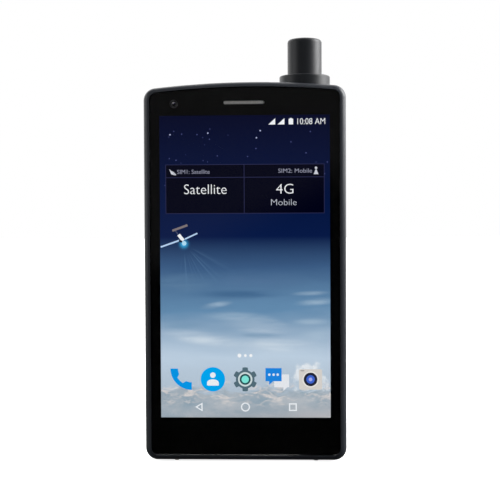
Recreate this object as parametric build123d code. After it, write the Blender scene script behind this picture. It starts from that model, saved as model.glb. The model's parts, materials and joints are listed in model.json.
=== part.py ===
"""Satellite smartphone with a pull-out antenna, as an assembly of separate pieces.

Millimetres. +Z is up along the phone, the screen faces -Y, and the origin is under the middle of the
phone, on the surface that its two foot ribs stand on. Each piece is written to parts/NODE.step.
"""
import math
import os

from build123d import *

# ---- driving dimensions: the casing -------------------------------------------------------------
BODY_WIDTH = 77.0
BODY_HEIGHT = 144.2
FOOT_HEIGHT = 0.7                       # the ribs under the bottom edge
BASE_Z = FOOT_HEIGHT
CROWN_Z = BASE_Z + BODY_HEIGHT          # top of the arched upper edge
CROWN_X = 3.0                           # where that top is, towards the antenna
ARCH_RADIUS = 338.0
CORNER_RADIUS = 4.7

FRONT_Y = -12.0                         # the front rim
WIDEST_Y = -8.0                         # the flanks are widest here and draw in towards the back
SPLIT_Y = -1.0                          # front frame meets rear housing
BACK_Y = 5.0                            # the flat back
FLANK_DRAFT = 5.0                       # degrees
RIM_ROUND = 2.4
BACK_ROUND = 2.8
SEAM_WIDTH = 0.3                        # the groove where frame and housing meet
SEAM_DEPTH = 0.3

FRAME_WALL = 1.7                        # inner faces, as insets from the widest outline
REAR_WALL = 2.1
GASKET_INSETS = (1.15, 1.6)
GASKET_DEPTH = 0.8
REAR_SKIN_Y = 3.4                       # inside of the flat back

# ---- driving dimensions: glass and display ------------------------------------------------------
GLASS_INSET = 1.95                      # from the casing's outline, at its top and bottom
GLASS_SIDE_INSET = 2.4                  # and at its sides
GLASS_FRONT_Y = -11.8
GLASS_BACK_Y = -10.8
FILM_FRONT_Y = -10.77
FILM_BACK_Y = -10.7
LEDGE_Y = -10.4                         # the shelf in the frame that the glass is glued to
PLATE_Y = -8.9                          # back of that shelf, front of the metal chassis
CHASSIS_BACK_Y = -7.9
SCREEN_WIDTH = 64.75                    # 5.2 inch diagonal, 16:9
SCREEN_HEIGHT = 115.1
SCREEN_LOW_Z = BASE_Z + 16.4
SCREEN_TOP_Z = SCREEN_LOW_Z + SCREEN_HEIGHT
PANEL_HALF = 33.4
PANEL_LOW_Z = SCREEN_LOW_Z - 3.9
PANEL_TOP_Z = SCREEN_TOP_Z + 1.5

EARPIECE_X = -0.2
EARPIECE_Z = SCREEN_TOP_Z + 4.8
EARPIECE_HALF = 7.6
EARPIECE_BAND = 1.15
SELFIE_X = -26.9
SELFIE_Z = EARPIECE_Z - 0.3

# ---- driving dimensions: the antenna ------------------------------------------------------------
MAST_X = 23.0
MAST_Y = 2.2
MAST_RADIUS = 6.65
MAST_TOP_Z = BASE_Z + 162.4
MAST_DOME = 0.9                         # height of the domed end
MAST_EDGE = 1.4                         # rounding of its edge
MAST_TRAVEL = 60.0
COLLAR_RADIUS = 9.8
COLLAR_LOW_Z = 143.5
COLLAR_TOP_Z = 148.7
TUBE_BORE = 6.95
TUBE_RADIUS = 8.0
TUBE_LOW_Z = 76.0
TUBE_TOP_Z = 142.5
BULGE_BORE = 8.3
RIDGE_HALF = 11.8                       # half the ridge's width where it leaves the flat back
RIDGE_LOW_Z = 74.0                      # the ridge is at its full depth above this
NOSE_LENGTH = 24.0                      # and slopes away to the back below it
NOSE_ROUND = 5.0
STOP_TOP_Z = TUBE_TOP_Z - MAST_TRAVEL - 0.3
STOP_LOW_Z = STOP_TOP_Z - 3.4

# ---- driving dimensions: keys, flaps and tray ---------------------------------------------------
KEY_Y = -4.6
KEY_HALF = 1.9
KEY_FACE_X = BODY_WIDTH / 2 - 0.02
KEY_GAP = 0.12
VOLUME_Z = 107.0
VOLUME_HALF = 10.0
VOLUME_PIVOT_X = 35.8
SOS_Z = 127.0
SOS_RADIUS = 2.5
POWER_Z = 112.0
CAMERA_KEY_Z = 64.0
PORT_Y = -5.0                           # centre of the sockets in the frame's top and bottom walls
PIVOT_DEPTH = 1.3                       # flap hinge axis below the outer surface, and knuckle radius
FLAP_DEPTH = 1.7
FLAP_FRONT_Y = -8.0
FLAP_BACK_Y = -2.0
FLAP_GAP = 0.15
PIN_RADIUS = 0.4
USB_PIVOT_X = 10.2
USB_FREE_X = -11.0
JACK_X = -20.0
JACK_PIVOT_X = -13.3
JACK_FREE_X = -27.0
JACK_RADIUS = 1.8
JACK_NOSE = 2.7
JACK_TOP_Z = 141.5
JACK_LENGTH = 14.0
JACK_LOW_Z = JACK_TOP_Z - JACK_LENGTH - 0.9
TRAY_Z = 84.0
TRAY_Y = -5.05
CARD_LOWS = (-33.3, -20.3)              # near edge of each card in the tray

# ---- driving dimensions: inside -----------------------------------------------------------------
BOARD_Y = (-6.9, -6.1)
BOARD_Z = (76.0, 134.0)
LOWER_BOARD_Y = (-7.4, -6.6)
BATTERY_HALF = 29.5
BATTERY_Y = (-7.3, 0.7)
BATTERY_Z = (17.0, 74.0)
SCREW_X = 32.6
CASE_SCREWS = [(-SCREW_X, 9.5), (SCREW_X, 9.5), (-SCREW_X, 48.0), (SCREW_X, 48.0),
               (-SCREW_X, 93.5), (-SCREW_X, 137.5), (8.0, 139.4)]
BOARD_SCREWS = [(-27.5, 95.0), (30.0, 80.0), (-30.0, 131.5), (30.0, 131.5)]
LENS_X, LENS_Z = -6.0, 127.0            # rear camera
FLASH_X = -17.5
SPEAKER_X = (-29.6, -13.4)
SPEAKER_Z = (5.0, 15.0)
FOOT_X = 26.8
MIC_X = 15.4

FAR = 200.0                             # well outside the phone, and its half depth and more
DEEP = 20.0


# ---- building blocks ----------------------------------------------------------------------------
def block(x, y, z):
    """A box between two values on each axis."""
    centre = [(lo + hi) / 2 for lo, hi in (x, y, z)]
    return Pos(*centre) * Box(*[hi - lo for lo, hi in (x, y, z)])


def column(x, y, radius, z):
    """A cylinder along Z."""
    return Pos(x, y, sum(z) / 2) * Cylinder(radius, z[1] - z[0])


def post(x, z, radius, y):
    """A cylinder along Y."""
    return Pos(x, sum(y) / 2, z) * Rot(90, 0, 0) * Cylinder(radius, y[1] - y[0])


def rod(y, z, radius, x):
    """A cylinder along X."""
    return Pos(sum(x) / 2, y, z) * Rot(0, 90, 0) * Cylinder(radius, x[1] - x[0])


def bar(half, tall, y, x=0.0, z=0.0):
    """A slot-shaped bar along X with round ends, between two values of Y."""
    face = Plane(origin=(x, y[1], z), x_dir=(1, 0, 0), z_dir=(0, -1, 0)) * SlotOverall(2 * half, tall)
    return extrude(face, y[1] - y[0])


def pill(y, z, tall, long, x):
    """A rounded bar that points along X, tall in Y and long in Z, between two values of X."""
    plane = Plane(origin=(x[0], y, z), x_dir=(0, 1, 0), z_dir=(1, 0, 0))
    return extrude(plane * RectangleRounded(tall, long, min(tall, long) * 0.45), x[1] - x[0])


def arch_z(x):
    """Height of the arched top edge at x."""
    return CROWN_Z - (x - CROWN_X) ** 2 / (2 * ARCH_RADIUS)


def outline(inset, side_inset=None):
    """The casing's outline in X and Z, drawn in by an inset that may differ at the sides."""
    half = BODY_WIDTH / 2 - (inset if side_inset is None else side_inset)
    low = BASE_Z + inset
    left, right = arch_z(-half) - inset, arch_z(half) - inset
    edges = [
        Line((-half, low), (half, low)),
        Line((half, low), (half, right)),
        ThreePointArc((half, right), (CROWN_X, CROWN_Z - inset), (-half, left)),
        Line((-half, left), (-half, low)),
    ]
    face = make_face(edges)
    return fillet(face.vertices(), max(CORNER_RADIUS - inset, 0.8))


def slab(inset, y, side_inset=None):
    """The outline at an inset, as a straight slab between two values of Y."""
    plane = Plane(origin=(0, y[1], 0), x_dir=(1, 0, 0), z_dir=(0, -1, 0))
    return extrude(plane * outline(inset, side_inset), y[1] - y[0])


def glass_slab(margin, y):
    """The cover glass's outline drawn in by a margin, as a straight slab between two values of Y."""
    return slab(GLASS_INSET + margin, y, GLASS_SIDE_INSET + margin)


def casing():
    """The whole outer form without the antenna bulge, as one solid."""
    front = slab(0, (FRONT_Y, WIDEST_Y))
    front = fillet(front.faces().sort_by(Axis.Y)[0].edges(), RIM_ROUND)
    plane = Plane(origin=(0, WIDEST_Y, 0), x_dir=(-1, 0, 0), z_dir=(0, 1, 0))
    form = make_face(mirror(outline(0), about=Plane.YZ).edges())
    rear = extrude(plane * form, BACK_Y - WIDEST_Y, taper=FLANK_DRAFT)
    rear = fillet(rear.faces().sort_by(Axis.Y)[-1].edges(), BACK_ROUND)
    return front + rear


def seam():
    """The groove round the casing where the front frame meets the rear housing."""
    y = (SPLIT_Y - SEAM_WIDTH / 2, SPLIT_Y + SEAM_WIDTH / 2)
    drawn_in = (SPLIT_Y - WIDEST_Y) * math.tan(math.radians(FLANK_DRAFT))
    return slab(-1, y) - slab(drawn_in + SEAM_DEPTH, y)


def foot_ribs(y):
    """The two ribs under the bottom edge, between two values of Y."""
    ribs = []
    for side in (-1, 1):
        rib = block((side * FOOT_X - 0.9, side * FOOT_X + 0.9), y, (0, BASE_Z + 1.4))
        edges = rib.edges().filter_by(Axis.Y).sort_by(Axis.Z)[:2]
        ribs.append(fillet(edges, 0.45))
    return ribs[0] + ribs[1]


def write(name, shape):
    """One STEP file for one node."""
    export_step(shape, f"parts/{name}.step")


# ---- casing -------------------------------------------------------------------------------------
OUTER = casing()
SEAM = seam()
IN_FRONT = block((-FAR, FAR), (-FAR, SPLIT_Y), (-FAR, FAR))
BEHIND = block((-FAR, FAR), (SPLIT_Y, FAR), (-FAR, FAR))
COLLAR_SEAT = (column(MAST_X, MAST_Y, COLLAR_RADIUS + 0.1, (COLLAR_LOW_Z, FAR))
               + column(MAST_X, MAST_Y, TUBE_RADIUS + 0.2, (TUBE_TOP_Z - 6, FAR)))


def usb_pivot():
    return USB_PIVOT_X, BASE_Z + PIVOT_DEPTH


def jack_pivot():
    return JACK_PIVOT_X, arch_z(JACK_PIVOT_X) - PIVOT_DEPTH


def usb_recess():
    """Everything cut from the bottom wall for the flap over the charging socket."""
    x, z = usb_pivot()
    across = (FLAP_FRONT_Y - FLAP_GAP, FLAP_BACK_Y + FLAP_GAP)
    seat = block((USB_FREE_X - FLAP_GAP, x), across, (-1, BASE_Z + FLAP_DEPTH + FLAP_GAP))
    knuckle = post(x, z, PIVOT_DEPTH + FLAP_GAP, across)
    mouth = block((x - PIVOT_DEPTH, x + PIVOT_DEPTH + FLAP_GAP), across, (-1, z))
    port = block((-6.5, 6.5), (PORT_Y - 2.2, PORT_Y + 2.2), (0, 6))
    nail = Pos(USB_FREE_X - 0.2, PORT_Y, BASE_Z) * Sphere(1.3)
    return seat + knuckle + mouth + port + nail


def jack_recess():
    """Everything cut from the top wall for the flap over the audio socket."""
    x, z = jack_pivot()
    across = (FLAP_FRONT_Y - FLAP_GAP, FLAP_BACK_Y + FLAP_GAP)
    floor = arch_z(JACK_FREE_X) - FLAP_DEPTH - FLAP_GAP
    seat = block((JACK_FREE_X - FLAP_GAP, x), across, (floor, FAR))
    knuckle = post(x, z, PIVOT_DEPTH + FLAP_GAP, across)
    mouth = block((x - PIVOT_DEPTH, x + PIVOT_DEPTH + FLAP_GAP), across, (z, FAR))
    port = column(JACK_X, PORT_Y, JACK_NOSE + 0.1, (130, FAR))
    nail = Pos(JACK_FREE_X - 0.2, PORT_Y, arch_z(JACK_FREE_X)) * Sphere(1.3)
    return seat + knuckle + mouth + port + nail


def flap_hinge_pins():
    """One pin for each flap, held at both ends in the frame."""
    across = (FLAP_FRONT_Y - 0.8, SPLIT_Y - 0.3)
    return Compound([post(*pivot, PIN_RADIUS, across) for pivot in (usb_pivot(), jack_pivot())])


def flap_pin_holes():
    across = (FLAP_FRONT_Y - 0.85, SPLIT_Y - 0.25)
    holes = [post(*pivot, PIN_RADIUS + 0.02, across) for pivot in (usb_pivot(), jack_pivot())]
    return holes[0] + holes[1]


def key_window(side, z, half, tall=KEY_HALF):
    """The window that a key stands in, through a flank."""
    x = (min(side * 30, side * 45), max(side * 30, side * 45))
    return pill(KEY_Y, z, 2 * (tall + KEY_GAP), 2 * (half + KEY_GAP), x)


def tray_window():
    outer = pill(TRAY_Y, TRAY_Z, 4.1, 14.6, (-45, -36.9))
    inner = pill(TRAY_Y, TRAY_Z, 3.7, 13.6, (-45, -30))
    return outer + inner


def wall_pads(gap):
    """Where the frame's walls are thicker, round the two sockets and the card tray."""
    return [block((-12.8 - gap, 12.8 + gap), (-8.8 - gap, SPLIT_Y), (BASE_Z + 1, BASE_Z + 3.2 + gap)),
            block((-29 - gap, -10.5 + gap), (-8.8 - gap, SPLIT_Y), (140.4 - gap, 144)),
            block((-37.5, -34.9 + gap), (-8.4 - gap, -1.7 + gap), (TRAY_Z - 8.2 - gap, TRAY_Z + 8.2 + gap))]


def front_frame():
    """The front half of the casing: rim, flanks, glass shelf and the sockets' walls."""
    body = OUTER & IN_FRONT
    body += foot_ribs((FLAP_FRONT_Y + 0.5, SPLIT_Y))
    body -= glass_slab(-0.1, (FRONT_Y - 1, LEDGE_Y))
    inside = slab(FRAME_WALL, (PLATE_Y, SPLIT_Y))
    for pad in wall_pads(0):
        inside -= pad
    for y in ((-8.2, -7.2), (-2.0, -1.05)):
        inside -= block((-37.5, -VOLUME_PIVOT_X + 0.9), y, (VOLUME_Z - 1.2, VOLUME_Z + 1.2))
    body -= inside
    body -= block((-PANEL_HALF - 0.5, PANEL_HALF + 0.5), (LEDGE_Y, PLATE_Y),
                  (PANEL_LOW_Z - 0.5, PANEL_TOP_Z + 0.5))
    body -= block((EARPIECE_X - 8.2, EARPIECE_X + 8.2), (LEDGE_Y, PLATE_Y), (PANEL_TOP_Z, EARPIECE_Z + 2.9))
    body -= block((SELFIE_X - 3.0, SELFIE_X + 3.0), (LEDGE_Y, PLATE_Y), (PANEL_TOP_Z, SELFIE_Z + 2.95))
    body -= block((12.8, 17.2), (LEDGE_Y, PLATE_Y), (PANEL_TOP_Z, EARPIECE_Z + 1.4))
    body -= key_window(-1, VOLUME_Z, VOLUME_HALF)
    body -= key_window(1, POWER_Z, 5.5) + key_window(1, CAMERA_KEY_Z, 4.5)
    body -= rod(KEY_Y, SOS_Z, SOS_RADIUS + KEY_GAP, (-45, -30))
    body -= tray_window()
    body -= post(-VOLUME_PIVOT_X, VOLUME_Z, 0.52, (-8.0, -1.05))
    body -= usb_recess() + jack_recess() + COLLAR_SEAT + flap_pin_holes()
    body -= column(MIC_X, PORT_Y, 0.5, (-1, 5))
    return body - SEAM


def ridge_nose():
    """The part of the YZ plane above the ridge's sloping lower end."""
    top_y = MAST_Y + COLLAR_RADIUS
    slope = NOSE_LENGTH / (top_y - BACK_Y)
    near, far = (RIDGE_LOW_Z + slope * (y - top_y) for y in (-DEEP, DEEP))
    return Polyline((-DEEP, near), (DEEP, far), (DEEP, FAR), (-DEEP, FAR), close=True)


def ridge():
    """The ridge on the back that holds the antenna: round on top, with sloping sides and nose."""
    drop = BACK_Y - MAST_Y
    lean = math.acos(COLLAR_RADIUS / math.hypot(RIDGE_HALF, drop)) + math.atan2(drop, RIDGE_HALF)
    touch = Vector(COLLAR_RADIUS * math.cos(lean), COLLAR_RADIUS * math.sin(lean))
    foot = touch + (Vector(RIDGE_HALF, drop) - touch) * 1.9
    edges = [
        Line((-foot.X, foot.Y), (-touch.X, touch.Y)),
        ThreePointArc((-touch.X, touch.Y), (0, COLLAR_RADIUS), (touch.X, touch.Y)),
        Line((touch.X, touch.Y), (foot.X, foot.Y)),
        Line((foot.X, foot.Y), (-foot.X, foot.Y)),
    ]
    low, high = RIDGE_LOW_Z - NOSE_LENGTH, COLLAR_LOW_Z
    form = extrude(Plane((MAST_X, MAST_Y, low)) * make_face(edges), high - low)
    form &= extrude(Plane.YZ * make_face(ridge_nose()), FAR, both=True)
    edges = [edge for edge in form.edges() if edge.center().Z < RIDGE_LOW_Z + 1 and edge.center().Y > BACK_Y
             and abs(edge.tangent_at(0.5).Z) < 0.99 and edge.length > 3]
    form = fillet(edges, NOSE_ROUND)
    return form & slab(1.2, (0, DEEP))


def gasket_ring():
    """The ring that the gasket fills, in the front edge of the rear housing."""
    outer, inner = GASKET_INSETS
    y = (SPLIT_Y, SPLIT_Y + GASKET_DEPTH)
    return slab(outer, y) - slab(inner, y)


def rear_housing():
    """The back half of the casing with the antenna ridge, hollow, with screw seats and windows."""
    body = (OUTER & BEHIND) + (ridge() & block((-FAR, FAR), (0, FAR), (0, FAR)))
    body += foot_ribs((SPLIT_Y, 2.0))
    inside = slab(REAR_WALL, (SPLIT_Y, REAR_SKIN_Y))
    seats = Part()
    for x, z in CASE_SCREWS:
        seats += post(x, z, 2.6, (SPLIT_Y, REAR_SKIN_Y + 1))
    body -= inside - seats
    body -= column(MAST_X, MAST_Y, BULGE_BORE, (TUBE_LOW_Z, FAR))
    body -= COLLAR_SEAT
    for x, z in CASE_SCREWS:
        body -= post(x, z, 1.0, (SPLIT_Y - 1, BACK_Y + 1))
        body -= post(x, z, 1.9, (BACK_Y - 1.6, BACK_Y + 1))
    body -= gasket_ring()
    body -= post(LENS_X, LENS_Z, 6.1, (3.9, BACK_Y + 1)) + post(LENS_X, LENS_Z, 4.6, (0, BACK_Y + 1))
    body -= post(FLASH_X, LENS_Z, 2.3, (0, BACK_Y + 1))
    for row in range(4):
        z = SPEAKER_Z[0] + 2 + 2 * row
        body -= bar(6.0, 1.0, (0, BACK_Y + 1), x=sum(SPEAKER_X) / 2, z=z)
    return body - SEAM


def housing_gasket():
    return gasket_ring() - COLLAR_SEAT


def hex_lobe(across, y):
    """A six-lobed socket for a driver, along Y."""
    socket = Rot(90, 0, 0) * Cylinder(across * 0.36, y[1] - y[0])
    for turn in range(6):
        socket += Rot(0, 60 * turn, 0) * Pos(across * 0.36, 0, 0) * Rot(90, 0, 0) * Cylinder(
            across * 0.14, y[1] - y[0])
    return Pos(0, sum(y) / 2, 0) * socket


def case_screw(x, z):
    """One casing screw, driven in from the back."""
    head_y = (BACK_Y - 1.6, BACK_Y - 0.35)
    screw = post(0, 0, 1.75, head_y) + post(0, 0, 0.9, (-5.5, head_y[0]))
    screw -= hex_lobe(2.0, (head_y[1] - 0.7, head_y[1] + 0.2))
    return Pos(x, 0, z) * screw


def housing_screws():
    return Compound([case_screw(x, z) for x, z in CASE_SCREWS])


# ---- front: glass and display -------------------------------------------------------------------
def earpiece_slot(margin, y):
    return bar(EARPIECE_HALF + margin, EARPIECE_BAND + 2 * margin, y, x=EARPIECE_X, z=EARPIECE_Z)


def cover_glass():
    glass = glass_slab(0, (GLASS_FRONT_Y, GLASS_BACK_Y))
    glass = chamfer(glass.faces().sort_by(Axis.Y)[0].edges(), 0.2)
    return glass - earpiece_slot(0.05, (-13, -10))


def bezel_film():
    """The black print behind the glass, with its window for the display and a hole for the camera."""
    film = glass_slab(0.2, (FILM_FRONT_Y, FILM_BACK_Y))
    film -= block((-SCREEN_WIDTH / 2, SCREEN_WIDTH / 2), (-12, -10), (SCREEN_LOW_Z, SCREEN_TOP_Z))
    film -= earpiece_slot(0.3, (-12, -10))
    return film - post(SELFIE_X, SELFIE_Z, 1.6, (-12, -10))


def glass_adhesive():
    y = (FILM_BACK_Y, LEDGE_Y)
    return glass_slab(0.2, y) - slab(4.3, y)


def display_panel():
    return block((-PANEL_HALF, PANEL_HALF), (FILM_BACK_Y, PLATE_Y - 0.05), (PANEL_LOW_Z, PANEL_TOP_Z))


def earpiece_mesh():
    return earpiece_slot(0, (GLASS_FRONT_Y + 0.2, GLASS_BACK_Y))


def earpiece_receiver():
    case = block((EARPIECE_X - 7.6, EARPIECE_X + 7.6), (-10.2, -7.2), (EARPIECE_Z - 2.3, EARPIECE_Z + 2.5))
    case = fillet(case.edges().filter_by(Axis.Y), 1.5)
    return case + earpiece_slot(0.1, (GLASS_BACK_Y, -10.2))


def front_camera():
    case = block((SELFIE_X - 2.75, SELFIE_X + 2.75), (-10.0, -7.2), (SELFIE_Z - 2.7, SELFIE_Z + 2.7))
    barrel = post(SELFIE_X, SELFIE_Z, 1.5, (GLASS_BACK_Y + 0.05, -10.0))
    return case + barrel - post(SELFIE_X, SELFIE_Z, 0.8, (-12, -10.4))


def proximity_sensor():
    return block((13.0, 17.0), (FILM_BACK_Y, -9.4), (EARPIECE_Z - 1.2, EARPIECE_Z + 1.2))


def mid_frame():
    """The cast chassis: a plate with bosses for the casing screws and pads for the main board."""
    plate = slab(FRAME_WALL + 0.2, (PLATE_Y, CHASSIS_BACK_Y))
    for x, z in CASE_SCREWS:
        plate += post(x, z, 2.3, (CHASSIS_BACK_Y, SPLIT_Y - 0.05))
    for x, z in BOARD_SCREWS:
        plate += post(x, z, 1.8, (CHASSIS_BACK_Y, BOARD_Y[0]))
        plate -= post(x, z, 0.65, (CHASSIS_BACK_Y - 0.1, BOARD_Y[0] + 1))
    for x, z in CASE_SCREWS:
        plate -= post(x, z, 0.95, (-6.6, SPLIT_Y))
    plate -= block((EARPIECE_X - 8.2, EARPIECE_X + 8.2), (-9, -7), (EARPIECE_Z - 2.8, EARPIECE_Z + 2.9))
    plate -= block((SELFIE_X - 3.0, SELFIE_X + 3.0), (-9, -7), (SELFIE_Z - 3.0, SELFIE_Z + 2.95))
    plate -= block((-37.5, -34.4), (-9, -6.9), (VOLUME_Z - 1.6, VOLUME_Z + 1.6))
    for pad in wall_pads(0.2):
        plate -= pad
    return plate & slab(FRAME_WALL + 0.2, (PLATE_Y, SPLIT_Y))


# ---- boards and electronics ---------------------------------------------------------------------
def main_board():
    board = block((-33, 33), BOARD_Y, BOARD_Z)
    board = fillet(board.edges().filter_by(Axis.Y), 2.0)
    for x, z in CASE_SCREWS:
        board -= post(x, z, 2.6, (-8, -5))
    for x, z in BOARD_SCREWS:
        board -= post(x, z, 0.75, (-8, -5))
    return board - block((JACK_X - 3.3, JACK_X + 3.3), (-8, -5), (JACK_LOW_Z - 0.2, 140))


def shield_can(x, y, z, wall, open_to):
    """A pressed tin box with its open side on the board. open_to is the Y of that side."""
    inner_y = (y[0] + wall, FAR) if open_to == y[1] else (-FAR, y[1] - wall)
    can = fillet(block(x, y, z).edges().filter_by(Axis.Y), 0.8)
    return can - block((x[0] + wall, x[1] - wall), inner_y, (z[0] + wall, z[1] - wall))


def board_screws():
    screws = []
    for x, z in BOARD_SCREWS:
        screw = post(x, z, 1.4, (BOARD_Y[1], -5.4)) + post(x, z, 0.6, (CHASSIS_BACK_Y, BOARD_Y[1]))
        screws.append(screw - Pos(x, -5.6, z) * Box(2.0, 0.5, 0.35))
    return Compound(screws)


def sim_connector():
    """The metal cage on the board that the tray slides into."""
    cage = block((-34.5, -4.0), (BOARD_Y[1], -3.9), (TRAY_Z - 6.6, TRAY_Z + 6.6))
    return cage - block((-40, -5.0), (TRAY_Y - 0.6, TRAY_Y + 0.6), (TRAY_Z - 5.7, TRAY_Z + 5.7))


def jack_socket():
    """The audio socket: a plastic block in a notch of the board, with a round nose and a bore."""
    socket = block((JACK_X - 3.1, JACK_X + 3.1), (-7.7, -2.3), (JACK_LOW_Z, 140.1))
    socket += column(JACK_X, PORT_Y, JACK_NOSE, (140, JACK_TOP_Z))
    return socket - column(JACK_X, PORT_Y, JACK_RADIUS, (JACK_TOP_Z - JACK_LENGTH, 160))


def usb_socket():
    """A reversible charging socket: a drawn shell, its tongue and its back wall."""
    plane = Plane(origin=(0, PORT_Y, 4.2), x_dir=(1, 0, 0), z_dir=(0, 0, 1))
    shell = extrude(plane * SlotOverall(9.0, 3.2), 7.3) - extrude(plane * SlotOverall(8.4, 2.6), 6.6)
    tongue = block((-3.4, 3.4), (PORT_Y - 0.35, PORT_Y + 0.35), (4.9, 11.0))
    return shell + tongue


def lower_board():
    board = block((-12.5, 29.5), LOWER_BOARD_Y, (4.4, 15.6))
    return fillet(board.edges().filter_by(Axis.Y), 1.0)


def board_link():
    """The flat cable between the two boards, in front of the battery."""
    strip = block((-5, 5), (-7.6, LOWER_BOARD_Y[0]), (9, 80))
    return strip + block((-6, 6), (LOWER_BOARD_Y[0] - 0.2, BOARD_Y[0]), (77, 80))


def battery():
    cell = block((-BATTERY_HALF, BATTERY_HALF), BATTERY_Y, BATTERY_Z)
    cell = fillet(cell.edges().filter_by(Axis.Z), 1.8)
    return cell + block((-14, 14), (-3.4, -2.6), (BATTERY_Z[1], BATTERY_Z[1] + 1.5))


def battery_pads():
    pads = [block((x - 5, x + 5), (CHASSIS_BACK_Y, BATTERY_Y[0]), (20, 40)) for x in (-13, 13)]
    pads += [block((x - 5, x + 5), (CHASSIS_BACK_Y, BATTERY_Y[0]), (50, 70)) for x in (-13, 13)]
    return Compound(pads)


def battery_foam():
    return block((-20, 20), (BATTERY_Y[1], REAR_SKIN_Y), (24, 54))


def loudspeaker():
    box = block(SPEAKER_X, (-6.6, 2.8), SPEAKER_Z)
    box = fillet(box.edges().filter_by(Axis.Y), 1.0)
    return box - bar(6.4, 7.0, (2.3, 3.0), x=sum(SPEAKER_X) / 2, z=sum(SPEAKER_Z) / 2)


def speaker_mesh():
    return bar(7.4, 8.6, (REAR_SKIN_Y - 0.4, REAR_SKIN_Y), x=sum(SPEAKER_X) / 2, z=sum(SPEAKER_Z) / 2)


def vibration_motor():
    return post(22.0, 9.9, 5.0, (LOWER_BOARD_Y[1], -3.8))


def microphone():
    return block((MIC_X - 1.9, MIC_X + 1.9), (LOWER_BOARD_Y[1], -3.6), (3.2, 4.4))


def side_switches(side, z, domes):
    """A stiffened flex strip with one snap dome behind each key."""
    strip = block((33.6, 34.2), (KEY_Y - 1.9, KEY_Y + 1.9), z)
    for height in domes:
        strip += rod(KEY_Y, height, 1.6, (34.2, 34.65))
    return strip if side > 0 else mirror(strip, about=Plane.YZ)


# ---- rear camera --------------------------------------------------------------------------------
def rear_camera():
    case = block((LENS_X - 4.75, LENS_X + 4.75), (-5.9, 1.6), (LENS_Z - 4.75, LENS_Z + 4.75))
    barrel = post(LENS_X, LENS_Z, 3.9, (1.6, 3.5))
    return case + barrel - post(LENS_X, LENS_Z, 2.6, (2.9, 4))


def camera_bezel():
    ring = post(LENS_X, LENS_Z, 6.0, (3.9, BACK_Y + 0.4))
    ring = fillet(ring.faces().sort_by(Axis.Y)[-1].edges(), 0.3)
    ring -= post(LENS_X, LENS_Z, 4.5, (4.4, BACK_Y + 1))
    return ring - post(LENS_X, LENS_Z, 3.9, (3, BACK_Y + 1))


def camera_window():
    return post(LENS_X, LENS_Z, 4.45, (4.4, BACK_Y + 0.15))


def flash_lens():
    return post(FLASH_X, LENS_Z, 2.25, (3.8, BACK_Y))


def flash_led():
    return block((FLASH_X - 1.6, FLASH_X + 1.6), (2.4, 3.5), (LENS_Z - 1.6, LENS_Z + 1.6))


# ---- antenna ------------------------------------------------------------------------------------
def mast(radius, z):
    return column(MAST_X, MAST_Y, radius, z)


def guide_tube():
    """The tube that the antenna slides in, with a groove that keeps it from turning."""
    tube = mast(TUBE_RADIUS, (TUBE_LOW_Z, TUBE_TOP_Z)) - mast(TUBE_BORE, (TUBE_LOW_Z + 1.8, FAR))
    tube -= block((MAST_X - 0.9, MAST_X + 0.9), (MAST_Y, MAST_Y + 7.55), (TUBE_LOW_Z + 1.8, FAR))
    tube -= mast(1.2, (0, FAR)) + mast(2.45, (0, TUBE_LOW_Z + 0.9))
    return tube - block((MAST_X - 10, MAST_X), (MAST_Y - 1.2, MAST_Y + 1.2), (136.2, 140.8))


def antenna_collar():
    """The ring on top of the casing that the antenna comes out of."""
    cone_low = COLLAR_TOP_Z - 0.5
    ring = mast(COLLAR_RADIUS, (COLLAR_LOW_Z, cone_low))
    ring += Pos(MAST_X, MAST_Y, COLLAR_TOP_Z - 0.25) * Cone(COLLAR_RADIUS, MAST_RADIUS, 0.5)
    ring = fillet(ring.edges().filter_by(lambda edge: abs(edge.center().Z - cone_low) < 0.01), 0.6)
    ring += mast(TUBE_RADIUS + 0.1, (TUBE_TOP_Z, COLLAR_LOW_Z))
    ring -= mast(MAST_RADIUS + 0.12, (0, FAR))
    return ring - mast(MAST_RADIUS + 0.85, (COLLAR_LOW_Z + 1.0, COLLAR_LOW_Z + 2.6))


def wiper_seal():
    return (mast(MAST_RADIUS + 0.8, (COLLAR_LOW_Z + 1.05, COLLAR_LOW_Z + 2.55))
            - mast(MAST_RADIUS + 0.04, (0, FAR)))


def feed_contacts():
    """A sprung pin under the stowed antenna and a finger beside its foot when it is pulled out."""
    pin = mast(1.1, (TUBE_LOW_Z, STOP_LOW_Z - 0.1)) + mast(2.4, (TUBE_LOW_Z, TUBE_LOW_Z + 0.85))
    finger = block((MAST_X - 8.6, MAST_X - MAST_RADIUS - 0.35), (MAST_Y - 1.0, MAST_Y + 1.0), (136.4, 140.6))
    return Compound([pin, finger])


def antenna_coax():
    """The thin coaxial lead from the upper contact to the main board."""
    end = (12.0, 122.6)
    route = [(14.4, MAST_Y, 138.4), (12.2, MAST_Y, 138.2), (12.0, 1.4, 132.5), (12.0, -4.0, 127.0),
             (end[0], -4.9, end[1])]
    path = FilletPolyline(*route, radius=0.9)
    start = Plane(origin=path @ 0, z_dir=path % 0)
    return sweep(start * Circle(0.5), path=path) + post(*end, 1.3, (BOARD_Y[1], -4.5))


def antenna_radome():
    """The mast's black sheath with its domed end."""
    ball = (MAST_RADIUS ** 2 + MAST_DOME ** 2) / (2 * MAST_DOME)
    sheath = mast(MAST_RADIUS, (STOP_TOP_Z, MAST_TOP_Z + 1))
    sheath &= Pos(MAST_X, MAST_Y, MAST_TOP_Z - ball) * Sphere(ball) + mast(MAST_RADIUS + 1, (0, MAST_TOP_Z - 3))
    rim = [edge for edge in sheath.edges() if abs(edge.center().Z - (MAST_TOP_Z - MAST_DOME)) < 0.05]
    return fillet(rim, MAST_EDGE) - mast(5.6, (0, MAST_TOP_Z - 3.0))


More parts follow.
